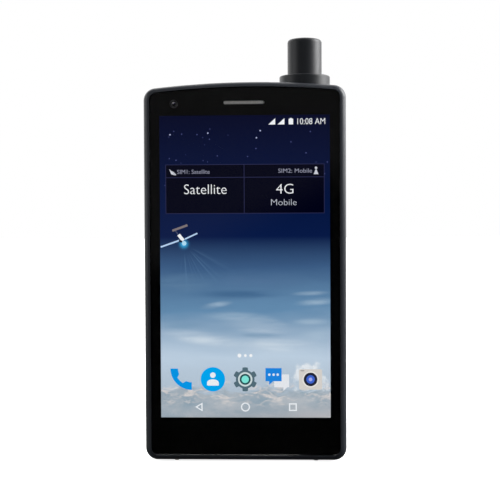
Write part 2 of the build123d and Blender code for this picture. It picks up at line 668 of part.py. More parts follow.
def antenna_foot():
    """The plug in the mast's lower end, with the stop flange and the key that runs in the groove."""
    foot = mast(TUBE_BORE - 0.1, (STOP_LOW_Z, STOP_TOP_Z)) + mast(5.55, (STOP_TOP_Z, STOP_TOP_Z + 8))
    foot += block((MAST_X - 0.7, MAST_X + 0.7), (MAST_Y + 5, MAST_Y + 7.4), (STOP_LOW_Z, STOP_TOP_Z - 0.6))
    groove = (STOP_LOW_Z + 0.9, STOP_LOW_Z + 2.5)
    foot -= mast(TUBE_BORE, groove) - mast(5.9, groove) - block(
        (MAST_X - 1.6, MAST_X + 1.6), (MAST_Y, MAST_Y + 9), (0, FAR))
    return foot


def contact_ring():
    """The foot's metal contact, open where the key stands."""
    z = (STOP_LOW_Z + 0.9, STOP_LOW_Z + 2.5)
    ring = mast(TUBE_BORE - 0.15, z) - mast(5.9, z)
    return ring - block((MAST_X - 1.6, MAST_X + 1.6), (MAST_Y, MAST_Y + 9), (0, FAR))


def helix_core():
    return mast(4.4, (STOP_TOP_Z + 8, MAST_TOP_Z - 3.5)) - mast(3.4, (0, FAR))


def helix_arms():
    """Four copper strips wound half a turn round the core."""
    low, tall, radius, width, thick = STOP_TOP_Z + 11, 62.0, 4.45, 1.5, 0.35
    steps = 24
    arms = []
    for quarter in range(4):
        sections = []
        for step in range(steps + 1):
            share = step / steps
            turn = Rot(0, 0, 90 * quarter + 180 * share)
            strip = Rectangle(thick, width)
            sections.append(Pos(MAST_X, MAST_Y, low + tall * share) * turn * Pos(
                radius + thick / 2, 0, 0) * strip)
        arms.append(loft(sections, ruled=True))
    return Compound(arms)


# ---- keys ---------------------------------------------------------------------------------------
def push_key(z, half, tall=KEY_HALF):
    """A key in the right-hand flank: cap, flange behind the wall and a stud for its dome."""
    cap = pill(KEY_Y, z, 2 * tall, 2 * half, (36.0, KEY_FACE_X))
    cap = fillet(cap.faces().sort_by(Axis.X)[-1].edges(), 0.35)
    flange = pill(KEY_Y, z, 2 * tall + 1.0, 2 * half + 1.2, (35.9, 36.65))
    return cap + flange + rod(KEY_Y, z, 1.2, (35.1, 36.2))


def sos_key():
    cap = rod(KEY_Y, SOS_Z, SOS_RADIUS, (36.0, KEY_FACE_X))
    cap = fillet(cap.faces().sort_by(Axis.X)[-1].edges(), 0.35)
    key = cap + rod(KEY_Y, SOS_Z, SOS_RADIUS + 0.6, (35.9, 36.65)) + rod(KEY_Y, SOS_Z, 1.2, (35.1, 36.2))
    return mirror(key, about=Plane.YZ)


def volume_rocker():
    """The two-way key: it rocks on a pin through its middle."""
    cap = pill(KEY_Y, VOLUME_Z, 2 * KEY_HALF, 2 * VOLUME_HALF, (35.4, KEY_FACE_X))
    cap = fillet(cap.faces().sort_by(Axis.X)[-1].edges(), 0.35)
    flange = pill(KEY_Y, VOLUME_Z, 2 * KEY_HALF + 1.0, 2 * VOLUME_HALF + 1.2, (35.3, 36.1))
    key = cap + flange
    for step in (-7, 7):
        key += rod(KEY_Y, VOLUME_Z + step, 1.2, (35.05, 36))
    key -= post(VOLUME_PIVOT_X, VOLUME_Z, 0.55, (-FAR, FAR))
    return mirror(key, about=Plane.YZ)


def volume_pin():
    return post(-VOLUME_PIVOT_X, VOLUME_Z, 0.5, (-8.0, -1.1))


# ---- flaps and tray -----------------------------------------------------------------------------
def flap(pivot, free_x, plate_z):
    """A port flap: its outer face is the casing's own surface, and its end turns on the pin."""
    x, z = pivot
    across = (FLAP_FRONT_Y, FLAP_BACK_Y)
    plate = block((free_x, x), across, plate_z) & OUTER
    knuckle = post(x, z, PIVOT_DEPTH, across) & OUTER
    return plate + knuckle - post(x, z, PIN_RADIUS + 0.05, (-FAR, FAR))


def usb_flap():
    return flap(usb_pivot(), USB_FREE_X, (-1, BASE_Z + FLAP_DEPTH))


def jack_flap():
    return flap(jack_pivot(), JACK_FREE_X, (arch_z(JACK_FREE_X) - FLAP_DEPTH, FAR))


def usb_flap_seal():
    plane = Plane(origin=(0, PORT_Y, BASE_Z + FLAP_DEPTH), x_dir=(1, 0, 0), z_dir=(0, 0, 1))
    rim = extrude(plane * RectangleRounded(12.0, 3.8, 1.6), 1.3)
    return rim - extrude(plane * RectangleRounded(9.6, 1.6, 0.6), 2)


def jack_flap_seal():
    top = arch_z(JACK_FREE_X) - FLAP_DEPTH
    return column(JACK_X, PORT_Y, JACK_NOSE - 0.1, (JACK_TOP_Z + 0.15, top))


def sim_tray():
    """The card tray: an outer cap that fills its window, a neck for the seal and the card frame."""
    cap = pill(TRAY_Y, TRAY_Z, 3.9, 14.4, (-45, -37.0)) & OUTER
    neck = pill(TRAY_Y, TRAY_Z, 2.7, 12.6, (-37.0, -34.7))
    frame = block((-34.8, -7.0), (TRAY_Y - 0.45, TRAY_Y + 0.45), (TRAY_Z - 5.5, TRAY_Z + 5.5))
    tray = cap + neck + frame
    for low in CARD_LOWS:
        tray -= block((low - 0.1, low + 12.4), (TRAY_Y - 0.25, TRAY_Y + 1), (TRAY_Z - 4.5, TRAY_Z + 4.5))
    return tray - rod(TRAY_Y, TRAY_Z + 5.2, 0.4, (-45, -38))


def sim_cards():
    cards = []
    for low in CARD_LOWS:
        card = block((low, low + 12.3), (TRAY_Y - 0.25, TRAY_Y + 0.42), (TRAY_Z - 4.4, TRAY_Z + 4.4))
        cards.append(fillet(card.edges().filter_by(Axis.Y), 0.9))
    return Compound(cards)


def tray_seal():
    x = (-36.2, -35.3)
    return pill(TRAY_Y, TRAY_Z, 3.62, 13.52, x) - pill(TRAY_Y, TRAY_Z, 2.7, 12.6, (-40, -30))


# ---- every node ---------------------------------------------------------------------------------
NODES = {
    "front_frame": front_frame,
    "rear_housing": rear_housing,
    "housing_gasket": housing_gasket,
    "housing_screws": housing_screws,
    "cover_glass": cover_glass,
    "bezel_film": bezel_film,
    "glass_adhesive": glass_adhesive,
    "display_panel": display_panel,
    "earpiece_mesh": earpiece_mesh,
    "earpiece_receiver": earpiece_receiver,
    "front_camera": front_camera,
    "proximity_sensor": proximity_sensor,
    "mid_frame": mid_frame,
    "main_board": main_board,
    "processor_shield": lambda: shield_can((-25, 25), (-7.8, BOARD_Y[0]), (84, 125), 0.25, BOARD_Y[0]),
    "satellite_shield": lambda: shield_can((-17, 12.5), (BOARD_Y[1], -4.0), (95, 120), 0.3, BOARD_Y[1]),
    "cellular_shield": lambda: shield_can((-2, 12.5), (BOARD_Y[1], -4.0), (78, 93), 0.3, BOARD_Y[1]),
    "navigation_patch": lambda: block((-32, -20), (BOARD_Y[1], -2.1), (110, 122)),
    "board_screws": board_screws,
    "sim_connector": sim_connector,
    "jack_socket": jack_socket,
    "usb_socket": usb_socket,
    "lower_board": lower_board,
    "board_link": board_link,
    "battery": battery,
    "battery_pads": battery_pads,
    "battery_foam": battery_foam,
    "loudspeaker": loudspeaker,
    "speaker_mesh": speaker_mesh,
    "vibration_motor": vibration_motor,
    "microphone": microphone,
    "cellular_antenna": lambda: block((-12, 28), (REAR_SKIN_Y - 0.2, REAR_SKIN_Y), (4.4, 15)),
    "side_switches_left": lambda: side_switches(-1, (96.4, 130.5), (VOLUME_Z - 7, VOLUME_Z + 7, SOS_Z)),
    "side_switches_right": lambda: side_switches(1, (59, 117), (CAMERA_KEY_Z, POWER_Z)),
    "rear_camera": rear_camera,
    "camera_bezel": camera_bezel,
    "camera_window": camera_window,
    "flash_lens": flash_lens,
    "flash_led": flash_led,
    "antenna_guide_tube": guide_tube,
    "antenna_collar": antenna_collar,
    "antenna_wiper_seal": wiper_seal,
    "antenna_feed_contacts": feed_contacts,
    "antenna_coax": antenna_coax,
    "flap_hinge_pins": flap_hinge_pins,
    "volume_pin": volume_pin,
    "antenna_radome": antenna_radome,
    "antenna_foot": antenna_foot,
    "antenna_contact_ring": contact_ring,
    "helix_core": helix_core,
    "helix_arms": helix_arms,
    "power_key": lambda: push_key(POWER_Z, 5.5),
    "camera_key": lambda: push_key(CAMERA_KEY_Z, 4.5),
    "sos_key": sos_key,
    "volume_rocker": volume_rocker,
    "usb_flap": lambda: usb_flap() + usb_flap_seal(),
    "jack_flap": lambda: jack_flap() + jack_flap_seal(),
    "sim_tray": sim_tray,
    "sim_cards": sim_cards,
    "tray_seal": tray_seal,
}

os.makedirs("parts", exist_ok=True)
for name, make in NODES.items():
    write(name, make())
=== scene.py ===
"""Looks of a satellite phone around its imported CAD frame: materials for every part, the lit
home screen, small pieces that the CAD leaves plain, the floor, the lights and the camera.

Named lengths are in millimetres and are turned into metres where Blender takes them."""

import json
import math
import random

import bmesh
import bpy
from mathutils import Matrix, Vector


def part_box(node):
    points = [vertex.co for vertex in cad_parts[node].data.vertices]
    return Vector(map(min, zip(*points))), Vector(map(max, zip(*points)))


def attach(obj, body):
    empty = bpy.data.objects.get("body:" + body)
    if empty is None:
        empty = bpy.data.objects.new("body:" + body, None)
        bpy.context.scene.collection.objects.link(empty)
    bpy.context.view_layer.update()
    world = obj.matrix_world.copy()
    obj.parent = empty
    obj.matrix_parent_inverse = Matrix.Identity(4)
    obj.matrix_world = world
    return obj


MM = 0.001

# The lit area of the display, and the gap in front of it that the screen's plates lie in.
SCREEN_WIDTH = 64.75
SCREEN_HEIGHT = 115.1
SCREEN_LOW = 17.1
SCREEN_LEFT = -SCREEN_WIDTH / 2
PLATE_THICKNESS = 0.006
LAYER_STEP = 0.011
ARC_STEPS = 48
CARD_LENGTH = 12.3
BLACK = (0, 0, 0, 1)
WALLPAPER_STRENGTH = 1.06
LETTER_THINNING = 0.012

# The camera, turned about the casing's middle.
SENSOR = 36.0
LENS = 83.7
DISTANCE = 450.0
YAW, PITCH, ROLL = -2.45, 1.4, -0.27
SHIFT_ASIDE, SHIFT_UP = -1.58, -7.87

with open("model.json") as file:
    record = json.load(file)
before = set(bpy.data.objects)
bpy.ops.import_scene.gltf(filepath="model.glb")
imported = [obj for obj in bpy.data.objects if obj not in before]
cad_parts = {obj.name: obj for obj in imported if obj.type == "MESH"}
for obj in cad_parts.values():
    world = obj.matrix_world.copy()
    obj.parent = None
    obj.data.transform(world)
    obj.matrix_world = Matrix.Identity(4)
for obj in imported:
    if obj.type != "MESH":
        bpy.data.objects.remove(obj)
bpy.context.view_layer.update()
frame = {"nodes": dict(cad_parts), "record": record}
slot_of = {part["node"]: part["material_slot"] for part in frame["record"]["subparts"]}


# ---------------------------------------------------------------- colours and shader nodes


def screen_colour(red, green, blue):
    """The linear colour that shows on a screen as these 8-bit values."""
    shown = [value / 255 for value in (red, green, blue)]
    return tuple(v / 12.92 if v < 0.0405 else ((v + 0.055) / 1.055) ** 2.4 for v in shown) + (1.0,)


def scaled(colour, share):
    """A linear colour made darker or lighter."""
    return tuple(channel * share for channel in colour[:3]) + (1.0,)


class Shader:
    """A material with one Principled surface, and short calls that add the nodes that feed it."""

    def __init__(self, name, constants=None):
        self.material = bpy.data.materials.new(name)
        self.material.use_nodes = True
        self.tree = self.material.node_tree
        self.tree.nodes.clear()
        self.surface = self.add("ShaderNodeBsdfPrincipled", constants)
        self.output = self.add("ShaderNodeOutputMaterial", {"Surface": self.surface.outputs[0]})

    def add(self, kind, inputs=None, **settings):
        """A new node with its settings made and its inputs filled or linked."""
        node = self.tree.nodes.new(kind)
        for name, value in settings.items():
            setattr(node, name, value)
        for socket, value in (inputs or {}).items():
            self.feed(node.inputs[socket], value)
        return node

    def feed(self, socket, value):
        """Links a socket to an output, or sets its value."""
        if isinstance(value, bpy.types.NodeSocket):
            self.tree.links.new(value, socket)
        else:
            socket.default_value = value

    def give(self, socket, value):
        """Feeds one input of the Principled surface."""
        self.feed(self.surface.inputs[socket], value)

    def place(self, stretch=(1, 1, 1), start=0.0):
        """Object coordinates, squeezed along each axis by its stretch."""
        shrink = [1 / share for share in stretch]
        coordinates = self.add("ShaderNodeTexCoord").outputs["Object"]
        inputs = {"Vector": coordinates, "Scale": shrink, "Location": (start, start, start)}
        return self.add("ShaderNodeMapping", inputs).outputs["Vector"]

    def noise(self, feature, stretch=(1, 1, 1), detail=3.0, rough=0.5, start=0.0, twist=0.0):
        """Noise from 0 to 1 with blobs about feature millimetres across."""
        inputs = {
            "Vector": self.place(stretch, start),
            "Scale": 1 / (feature * MM),
            "Detail": detail,
            "Roughness": rough,
            "Distortion": twist,
        }
        return self.add("ShaderNodeTexNoise", inputs).outputs["Fac"]

    def cells(self, feature, stretch=(1, 1, 1), kind="F1"):
        """Distance from the middle of cells about feature millimetres across."""
        inputs = {"Vector": self.place(stretch), "Scale": 1 / (feature * MM)}
        return self.add("ShaderNodeTexVoronoi", inputs, feature=kind).outputs["Distance"]

    def remap(self, value, low, high, to_low=0.0, to_high=1.0, smooth=False):
        """The value, moved from one range to another and held inside it."""
        inputs = {"Value": value, "From Min": low, "From Max": high, "To Min": to_low, "To Max": to_high}
        way = "SMOOTHSTEP" if smooth else "LINEAR"
        return self.add("ShaderNodeMapRange", inputs, interpolation_type=way).outputs["Result"]

    def maths(self, operation, first, second=0.0, third=0.0):
        """One arithmetic step."""
        inputs = {0: first, 1: second, 2: third}
        return self.add("ShaderNodeMath", inputs, operation=operation).outputs[0]

    def blend(self, factor, first, second):
        """A colour between two, by a factor."""
        inputs = {0: factor, 6: first, 7: second}
        return self.add("ShaderNodeMix", inputs, data_type="RGBA").outputs[2]

    def ramp(self, factor, stops):
        """A colour from a list of (place, colour) stops."""
        node = self.add("ShaderNodeValToRGB", {"Fac": factor})
        band = node.color_ramp
        for at, colour in stops[1:-1]:
            band.elements.new(at).color = colour
        for element, (at, colour) in ((band.elements[0], stops[0]), (band.elements[-1], stops[-1])):
            element.position = at
            element.color = colour
        return node.outputs["Color"]

    def bump(self, height, depth, strength=1.0, under=None):
        """A bump as deep as depth millimetres, on top of another if one is given."""
        inputs = {"Height": height, "Distance": depth * MM, "Strength": strength}
        if under is not None:
            inputs["Normal"] = under
        return self.add("ShaderNodeBump", inputs).outputs["Normal"]


# ---------------------------------------------------------------- materials


def moulded(name, colour, roughness, grain=0.3, depth=0.02, spread=0.14, gloss=0.5):
    """Moulded plastic: a spark-eroded grain, faint flow marks and an uneven sheen."""
    shader = Shader(name, {"IOR": 1.5, "Specular IOR Level": gloss})
    flow = shader.noise(14.0, (1, 1, 2.5), 3.0, twist=0.6)
    speckle = shader.noise(grain * 1.6, detail=2.0)
    tone = shader.maths("MULTIPLY_ADD", speckle, 0.5, shader.maths("MULTIPLY", flow, 0.5))
    tone = shader.remap(tone, 0.3, 0.7)
    shader.give("Base Color", shader.blend(tone, scaled(colour, 1 - spread), scaled(colour, 1 + spread)))
    rub = shader.maths("MULTIPLY_ADD", flow, 0.7, shader.maths("MULTIPLY", speckle, 0.3))
    shader.give("Roughness", shader.remap(rub, 0.3, 0.7, roughness - 0.07, roughness + 0.07))
    pits = shader.cells(grain, kind="SMOOTH_F1")
    skin = shader.bump(pits, depth, 0.5)
    shader.give("Normal", shader.bump(speckle, depth * 0.7, 0.4, skin))
    return shader.material


def rubber(name, colour):
    """Matt elastomer: a fine leathery skin with dusty patches."""
    shader = Shader(name, {"IOR": 1.5, "Specular IOR Level": 0.35, "Sheen Weight": 0.15})
    dust = shader.noise(5.0, detail=4.0)
    skin = shader.noise(0.35, detail=3.0, rough=0.6)
    shader.give("Base Color", shader.blend(shader.remap(dust, 0.35, 0.7), colour, scaled(colour, 1.5)))
    shader.give("Roughness", shader.remap(dust, 0.3, 0.7, 0.62, 0.82))
    shader.give("Normal", shader.bump(skin, 0.03, 0.5))
    return shader.material


def metal(name, colour, roughness, grain=(1, 1, 12), feature=0.12, depth=0.004, tint=0.12):
    """Metal with drawn or brushed lines along the longest grain axis, and faint staining."""
    shader = Shader(name, {"Metallic": 1.0, "IOR": 2.5})
    lines = shader.noise(feature, grain, 2.0)
    stain = shader.noise(4.0, detail=4.0, twist=0.5)
    mottle = shader.maths("MULTIPLY_ADD", lines, 0.35, shader.maths("MULTIPLY", stain, 0.65))
    mottle = shader.remap(mottle, 0.3, 0.7)
    shader.give("Base Color", shader.blend(mottle, scaled(colour, 1 - tint), scaled(colour, 1 + tint)))
    shader.give("Roughness", shader.remap(mottle, 0.0, 1.0, roughness - 0.06, roughness + 0.08))
    shader.give("Normal", shader.bump(lines, depth, 0.5))
    return shader.material


def clear_glass(name, colour, roughness_high, refraction=1.5):
    """Polished glass with a trace of smears in its gloss."""
    shader = Shader(name, {"Transmission Weight": 1.0, "IOR": refraction})
    smear = shader.noise(18.0, (1, 1, 0.5), 4.0, twist=1.2)
    shader.give("Base Color", shader.blend(shader.remap(smear, 0.3, 0.7), colour, scaled(colour, 0.985)))
    shader.give("Roughness", shader.remap(smear, 0.45, 0.8, 0.0, roughness_high))
    return shader.material


def printed_film(name):
    """Black screen-printed ink behind the glass, with a very fine halftone."""
    shader = Shader(name, {"IOR": 1.45, "Specular IOR Level": 0.1})
    dots = shader.cells(0.09)
    ink = screen_colour(4, 4, 5)
    shader.give("Base Color", shader.blend(shader.remap(dots, 0.2, 0.6), ink, scaled(ink, 1.6)))
    shader.give("Roughness", shader.remap(dots, 0.0, 0.6, 0.5, 0.65))
    return shader.material


def solder_mask(name):
    """A circuit board: green mask over copper runs, with pads and a weave under it."""
    shader = Shader(name, {"IOR": 1.5, "Coat Weight": 0.4, "Coat Roughness": 0.15})
    runs = shader.cells(1.6, (1, 1, 1), "DISTANCE_TO_EDGE")
    tracks = shader.remap(runs, 0.08, 0.12)
    pads = shader.remap(shader.cells(2.4), 0.10, 0.12)
    mask = shader.blend(tracks, screen_colour(24, 92, 58), screen_colour(12, 62, 40))
    shader.give("Base Color", shader.blend(pads, screen_colour(214, 178, 96), mask))
    shader.give("Metallic", shader.remap(pads, 0.0, 1.0, 1.0, 0.0))
    weave = shader.noise(0.5, detail=2.0)
    shader.give("Roughness", shader.remap(weave, 0.3, 0.7, 0.28, 0.42))
    raised = shader.bump(tracks, -0.03, 0.6)
    shader.give("Normal", shader.bump(weave, 0.01, 0.4, raised))
    return shader.material


def polyimide(name):
    """Flexible circuit: amber film with straight copper runs showing through."""
    shader = Shader(name, {"IOR": 1.6, "Coat Weight": 0.5, "Coat Roughness": 0.12})
    lanes = shader.noise(0.55, (1, 1, 60), 0.0)
    runs = shader.remap(lanes, 0.46, 0.52)
    shader.give("Base Color", shader.blend(runs, screen_colour(196, 112, 36), screen_colour(150, 78, 22)))
    shader.give("Roughness", shader.remap(shader.noise(2.0), 0.3, 0.7, 0.3, 0.45))
    shader.give("Normal", shader.bump(runs, 0.02, 0.6))
    return shader.material


def pouch_wrap(name):
    """Battery wrap: dark laminated foil, slightly wrinkled."""
    shader = Shader(name, {"Metallic": 0.6, "IOR": 1.5})
    wrinkle = shader.noise(6.0, detail=5.0, twist=1.5)
    tone = shader.remap(wrinkle, 0.3, 0.7)
    shader.give("Base Color", shader.blend(tone, screen_colour(46, 48, 54), screen_colour(66, 68, 74)))
    shader.give("Roughness", shader.remap(wrinkle, 0.3, 0.7, 0.3, 0.45))
    shader.give("Normal", shader.bump(wrinkle, 0.25, 0.6))
    return shader.material


def sintered(name):
    """Ceramic: pale body with a grainy face and dark specks."""
    shader = Shader(name, {"IOR": 1.7})
    grain = shader.noise(0.3, detail=4.0, rough=0.7)
    specks = shader.remap(shader.cells(0.8), 0.05, 0.12)
    body = shader.blend(grain, screen_colour(196, 186, 168), screen_colour(216, 208, 192))
    shader.give("Base Color", shader.blend(specks, screen_colour(130, 118, 100), body))
    shader.give("Roughness", shader.remap(grain, 0.3, 0.7, 0.45, 0.7))
    shader.give("Normal", shader.bump(grain, 0.02, 0.5))
    return shader.material


def open_foam(name):
    """Open-cell foam, with painted shade darkening the middle of each pore."""
    shader = Shader(name, {"IOR": 1.4, "Specular IOR Level": 0.2})
    pore_dips_and_shade = shader.cells(0.45)
    # Painted shade: each pore is darker at its middle, where the bump dips.
    shader.give("Base Color", shader.blend(pore_dips_and_shade, screen_colour(30, 30, 32), screen_colour(66, 66, 70)))
    shader.give("Roughness", shader.remap(pore_dips_and_shade, 0.0, 0.6, 0.95, 0.8))
    shader.give("Normal", shader.bump(pore_dips_and_shade, 0.3, 0.9))
    return shader.material


def woven_wire(name, colour, pitch=0.36):
    """Fine woven wire: crossing waves give the raised wires, and the holes between them are darkened with
    painted shade.
    """
    shader = Shader(name, {"Metallic": 0.45, "IOR": 2.5})
    split = shader.add("ShaderNodeSeparateXYZ", {"Vector": shader.place()})
    turn = 2 * math.pi / (pitch * MM)
    waves = [shader.maths("SINE", shader.maths("MULTIPLY", split.outputs[axis], turn)) for axis in (0, 2)]
    weave = shader.maths("MULTIPLY", waves[0], waves[1])
    height = shader.maths("ABSOLUTE", weave)
    wire = shader.remap(height, 0.05, 0.45)
    stain = shader.noise(1.5)
    bright = shader.blend(stain, scaled(colour, 0.85), scaled(colour, 1.15))
    # Painted shade: the holes between the wires are darkened to a quarter of the wire's colour.
    shader.give("Base Color", shader.blend(wire, scaled(colour, 0.25), bright))
    shader.give("Roughness", shader.remap(stain, 0.3, 0.7, 0.3, 0.5))
    shader.give("Normal", shader.bump(height, 0.05, 0.6))
    return shader.material


def coated_lens(name):
    """Dark lens glass whose coating's purple and green reflection is painted into its colour by viewing
    angle, paler towards its edge: a painted reflection.
    """
    shader = Shader(name, {"Coat Weight": 1.0, "Coat Roughness": 0.02, "IOR": 1.6})
    facing = shader.add("ShaderNodeLayerWeight", {"Blend": 0.35}).outputs["Facing"]
    # Painted reflection: the coating's coloured glint and a paler rim are set in the base colour by the
    # viewing angle.
    tint = shader.ramp(facing, [
        (0.0, screen_colour(20, 16, 40)),
        (0.45, screen_colour(34, 26, 66)),
        (0.75, screen_colour(22, 60, 58)),
        (1.0, screen_colour(80, 96, 110)),
    ])
    dust = shader.noise(0.8)
    cover = shader.remap(dust, 0.3, 0.7, 0.0, 0.3)
    shader.give("Base Color", shader.blend(cover, tint, screen_colour(10, 12, 18)))
    shader.give("Roughness", shader.remap(dust, 0.3, 0.7, 0.04, 0.10))
    return shader.material


def fluted_lens(name, centre):
    """Clear flash lens with ring-shaped flutes about its middle."""
    shader = Shader(name, {"Transmission Weight": 0.85, "IOR": 1.49})
    away = shader.add("ShaderNodeVectorMath", {0: shader.place(), 1: centre}, operation="SUBTRACT")
    radius = shader.add("ShaderNodeVectorMath", {0: away.outputs[0]}, operation="LENGTH").outputs["Value"]
    rings = shader.maths("SINE", shader.maths("MULTIPLY", radius, 2 * math.pi / (0.4 * MM)))
    haze = shader.noise(0.6)
    pale = screen_colour(250, 246, 228)
    shader.give("Base Color", shader.blend(haze, pale, scaled(pale, 0.93)))
    shader.give("Roughness", shader.remap(haze, 0.3, 0.7, 0.08, 0.2))
    shader.give("Normal", shader.bump(rings, 0.05, 0.7))
    return shader.material


def phosphor(name):
    """The yellow phosphor on a white light-emitting diode."""
    shader = Shader(name, {"IOR": 1.5})
    grain = shader.noise(0.12, detail=3.0)
    shader.give("Base Color", shader.blend(grain, screen_colour(222, 190, 52), screen_colour(246, 222, 110)))
    shader.give("Roughness", shader.remap(grain, 0.3, 0.7, 0.5, 0.75))
    shader.give("Normal", shader.bump(grain, 0.02, 0.6))
    return shader.material


def lit(name, colour, strength=1.0):
    """A lit screen element: the backlight's light is a little uneven, and the face has no gloss."""
    constants = {"Base Color": BLACK, "Specular IOR Level": 0.0, "Emission Strength": strength}
    shader = Shader(name, constants)
    backlight = shader.remap(shader.noise(22.0, detail=1.0), 0.3, 0.7)
    shader.give("Emission Color", shader.blend(backlight, scaled(colour, 0.97), scaled(colour, 1.03)))
    shader.give("Roughness", shader.remap(backlight, 0.0, 1.0, 0.5, 0.6))
    return shader.material


def make_slot_materials():
    """One finished material for each of the record's material slots."""
    lens = sum(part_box("flash_lens"), Vector()) / 2
    return {
        "frame_plastic": moulded("frame_plastic_grain", (0.036, 0.040, 0.049, 1), 0.38, 0.30, 0.014),
        "rear_plastic": moulded("rear_plastic_grain", (0.024, 0.026, 0.030, 1), 0.52, 0.45, 0.035),
        "antenna_plastic": moulded("antenna_plastic_grain", (0.018, 0.020, 0.024, 1), 0.44, 0.28, 0.012),
        "key_plastic": moulded("key_plastic_grain", (0.030, 0.033, 0.040, 1), 0.34, 0.25, 0.010),
        "sos_plastic": moulded("sos_plastic_grain", (0.52, 0.045, 0.025, 1), 0.36, 0.25, 0.010),
        "module_plastic": moulded("module_plastic_grain", (0.022, 0.022, 0.025, 1), 0.48, 0.30, 0.015),
        "coil_former": moulded("coil_former_grain", (0.60, 0.58, 0.52, 1), 0.50, 0.30, 0.015, 0.06),
        "card_plastic": moulded("card_plastic_grain", (0.74, 0.74, 0.72, 1), 0.38, 0.25, 0.008, 0.04),
        "flap_rubber": rubber("flap_rubber_skin", (0.026, 0.028, 0.033, 1)),
        "seal_rubber": rubber("seal_rubber_skin", (0.018, 0.018, 0.020, 1)),
        "adhesive": rubber("adhesive_tape", (0.04, 0.04, 0.04, 1)),
        "cover_glass": clear_glass("cover_glass_polish", (0.985, 0.99, 0.995, 1), 0.02),
        "lens_glass": clear_glass("lens_window_polish", (0.80, 0.84, 0.90, 1), 0.03, 1.6),
        "print_film": printed_film("print_film_ink"),
        "display": wallpaper("display_wallpaper"),
        "chassis_metal": metal("chassis_cast", (0.52, 0.53, 0.55, 1), 0.42, (1, 1, 1), 0.4, 0.02),
        "steel": metal("steel_stamped", (0.58, 0.58, 0.58, 1), 0.28, (14, 1, 1)),
        "screw_steel": metal("screw_black", (0.10, 0.10, 0.11, 1), 0.34, (1, 1, 1), 0.15),
        "bezel_metal": metal("bezel_turned", (0.20, 0.21, 0.23, 1), 0.26, (1, 6, 1)),
        "mesh_metal": woven_wire("mesh_woven", (0.92, 0.92, 0.90, 1)),
        "copper": metal("copper_bare", (0.80, 0.42, 0.25, 1), 0.24, (1, 1, 6)),
        "gold": metal("gold_plate", (0.90, 0.68, 0.30, 1), 0.18, (1, 1, 4), tint=0.05),
        "circuit_board": solder_mask("board_mask"),
        "flex": polyimide("flex_film"),
        "battery_wrap": pouch_wrap("battery_pouch"),
        "ceramic": sintered("ceramic_body"),
        "foam": open_foam("foam_cells"),
        "flash_plastic": fluted_lens("flash_flutes", lens),
    }


def dress_cad_nodes(materials):
    """Gives every CAD node the finished material of its slot."""
    for name, node in frame["nodes"].items():
        node.data.materials.clear()
        node.data.materials.append(materials[slot_of[name]])


# ---------------------------------------------------------------- the wallpaper on the display

# The plain gradient behind the clouds, from the display's low edge up to its top.
HORIZON, CLOUD_LIGHT, DAY, DUSK = (165, 178, 190), (190, 208, 225), (100, 140, 175), (60, 92, 132)
NIGHT, DEEP_NIGHT = (8, 26, 70), (2, 6, 38)
SKY = ((0.0, HORIZON), (0.2, CLOUD_LIGHT), (0.36, DAY), (0.5, DUSK), (0.6, NIGHT), (1.0, DEEP_NIGHT))
SATELLITE = (9.1, 66.3)

# Streaks of cloud: middle, half length and half height, tilt in degrees, colour, strength.
HAZE, PALE, WHITE_CLOUD, GAP = (104, 138, 168), (176, 198, 216), (212, 224, 234), (58, 96, 136)
STREAKS = (
    ((8.0, 51.5), (15.0, 4.6), 2, HAZE, 0.75),
    ((37.0, 52.5), (26.0, 4.4), -1, (86, 116, 154), 0.55),
    ((30.0, 47.0), (24.0, 2.4), 0, GAP, 0.75),
    ((57.5, 47.4), (9.0, 1.2), 2, PALE, 0.50),
    ((59.5, 44.2), (10.0, 2.0), 4, PALE, 0.60),
    ((21.3, 43.0), (7.5, 1.6), 9, PALE, 0.80),
    ((30.0, 38.2), (17.0, 2.6), -2, PALE, 0.75),
    ((37.0, 35.2), (17.0, 3.6), -5, WHITE_CLOUD, 0.80),
    ((57.0, 36.5), (10.0, 1.8), 2, PALE, 0.50),
    ((38.0, 31.3), (12.0, 1.5), -1, (108, 142, 172), 0.60),
    ((8.0, 35.0), (12.0, 2.0), 0, (112, 148, 178), 0.50),
    ((16.0, 30.2), (20.0, 3.4), -8, WHITE_CLOUD, 0.85),
    ((42.0, 27.2), (24.0, 4.4), -1, WHITE_CLOUD, 0.75),
    ((60.0, 31.5), (9.0, 3.0), 3, PALE, 0.60),
)


def wallpaper(name):
    """A night sky that turns to cloud towards the bottom, lit from behind."""
    constants = {"Base Color": BLACK, "Specular IOR Level": 0.0, "Emission Strength": WALLPAPER_STRENGTH}
    shader = Shader(name, constants)
    split = shader.add("ShaderNodeSeparateXYZ", {"Vector": shader.place()})
    across = shader.remap(split.outputs[0], SCREEN_LEFT * MM, -SCREEN_LEFT * MM)
    low, high = SCREEN_LOW * MM, (SCREEN_LOW + SCREEN_HEIGHT) * MM
    up = shader.remap(split.outputs[2], low, high)
    sky = cloudy_sky(shader, split, across, up)
    sky = satellite_glow(shader, sky, split)
    shader.give("Emission Color", sky)
    shader.give("Roughness", shader.remap(shader.noise(30.0), 0.3, 0.7, 0.4, 0.5))
    return shader.material


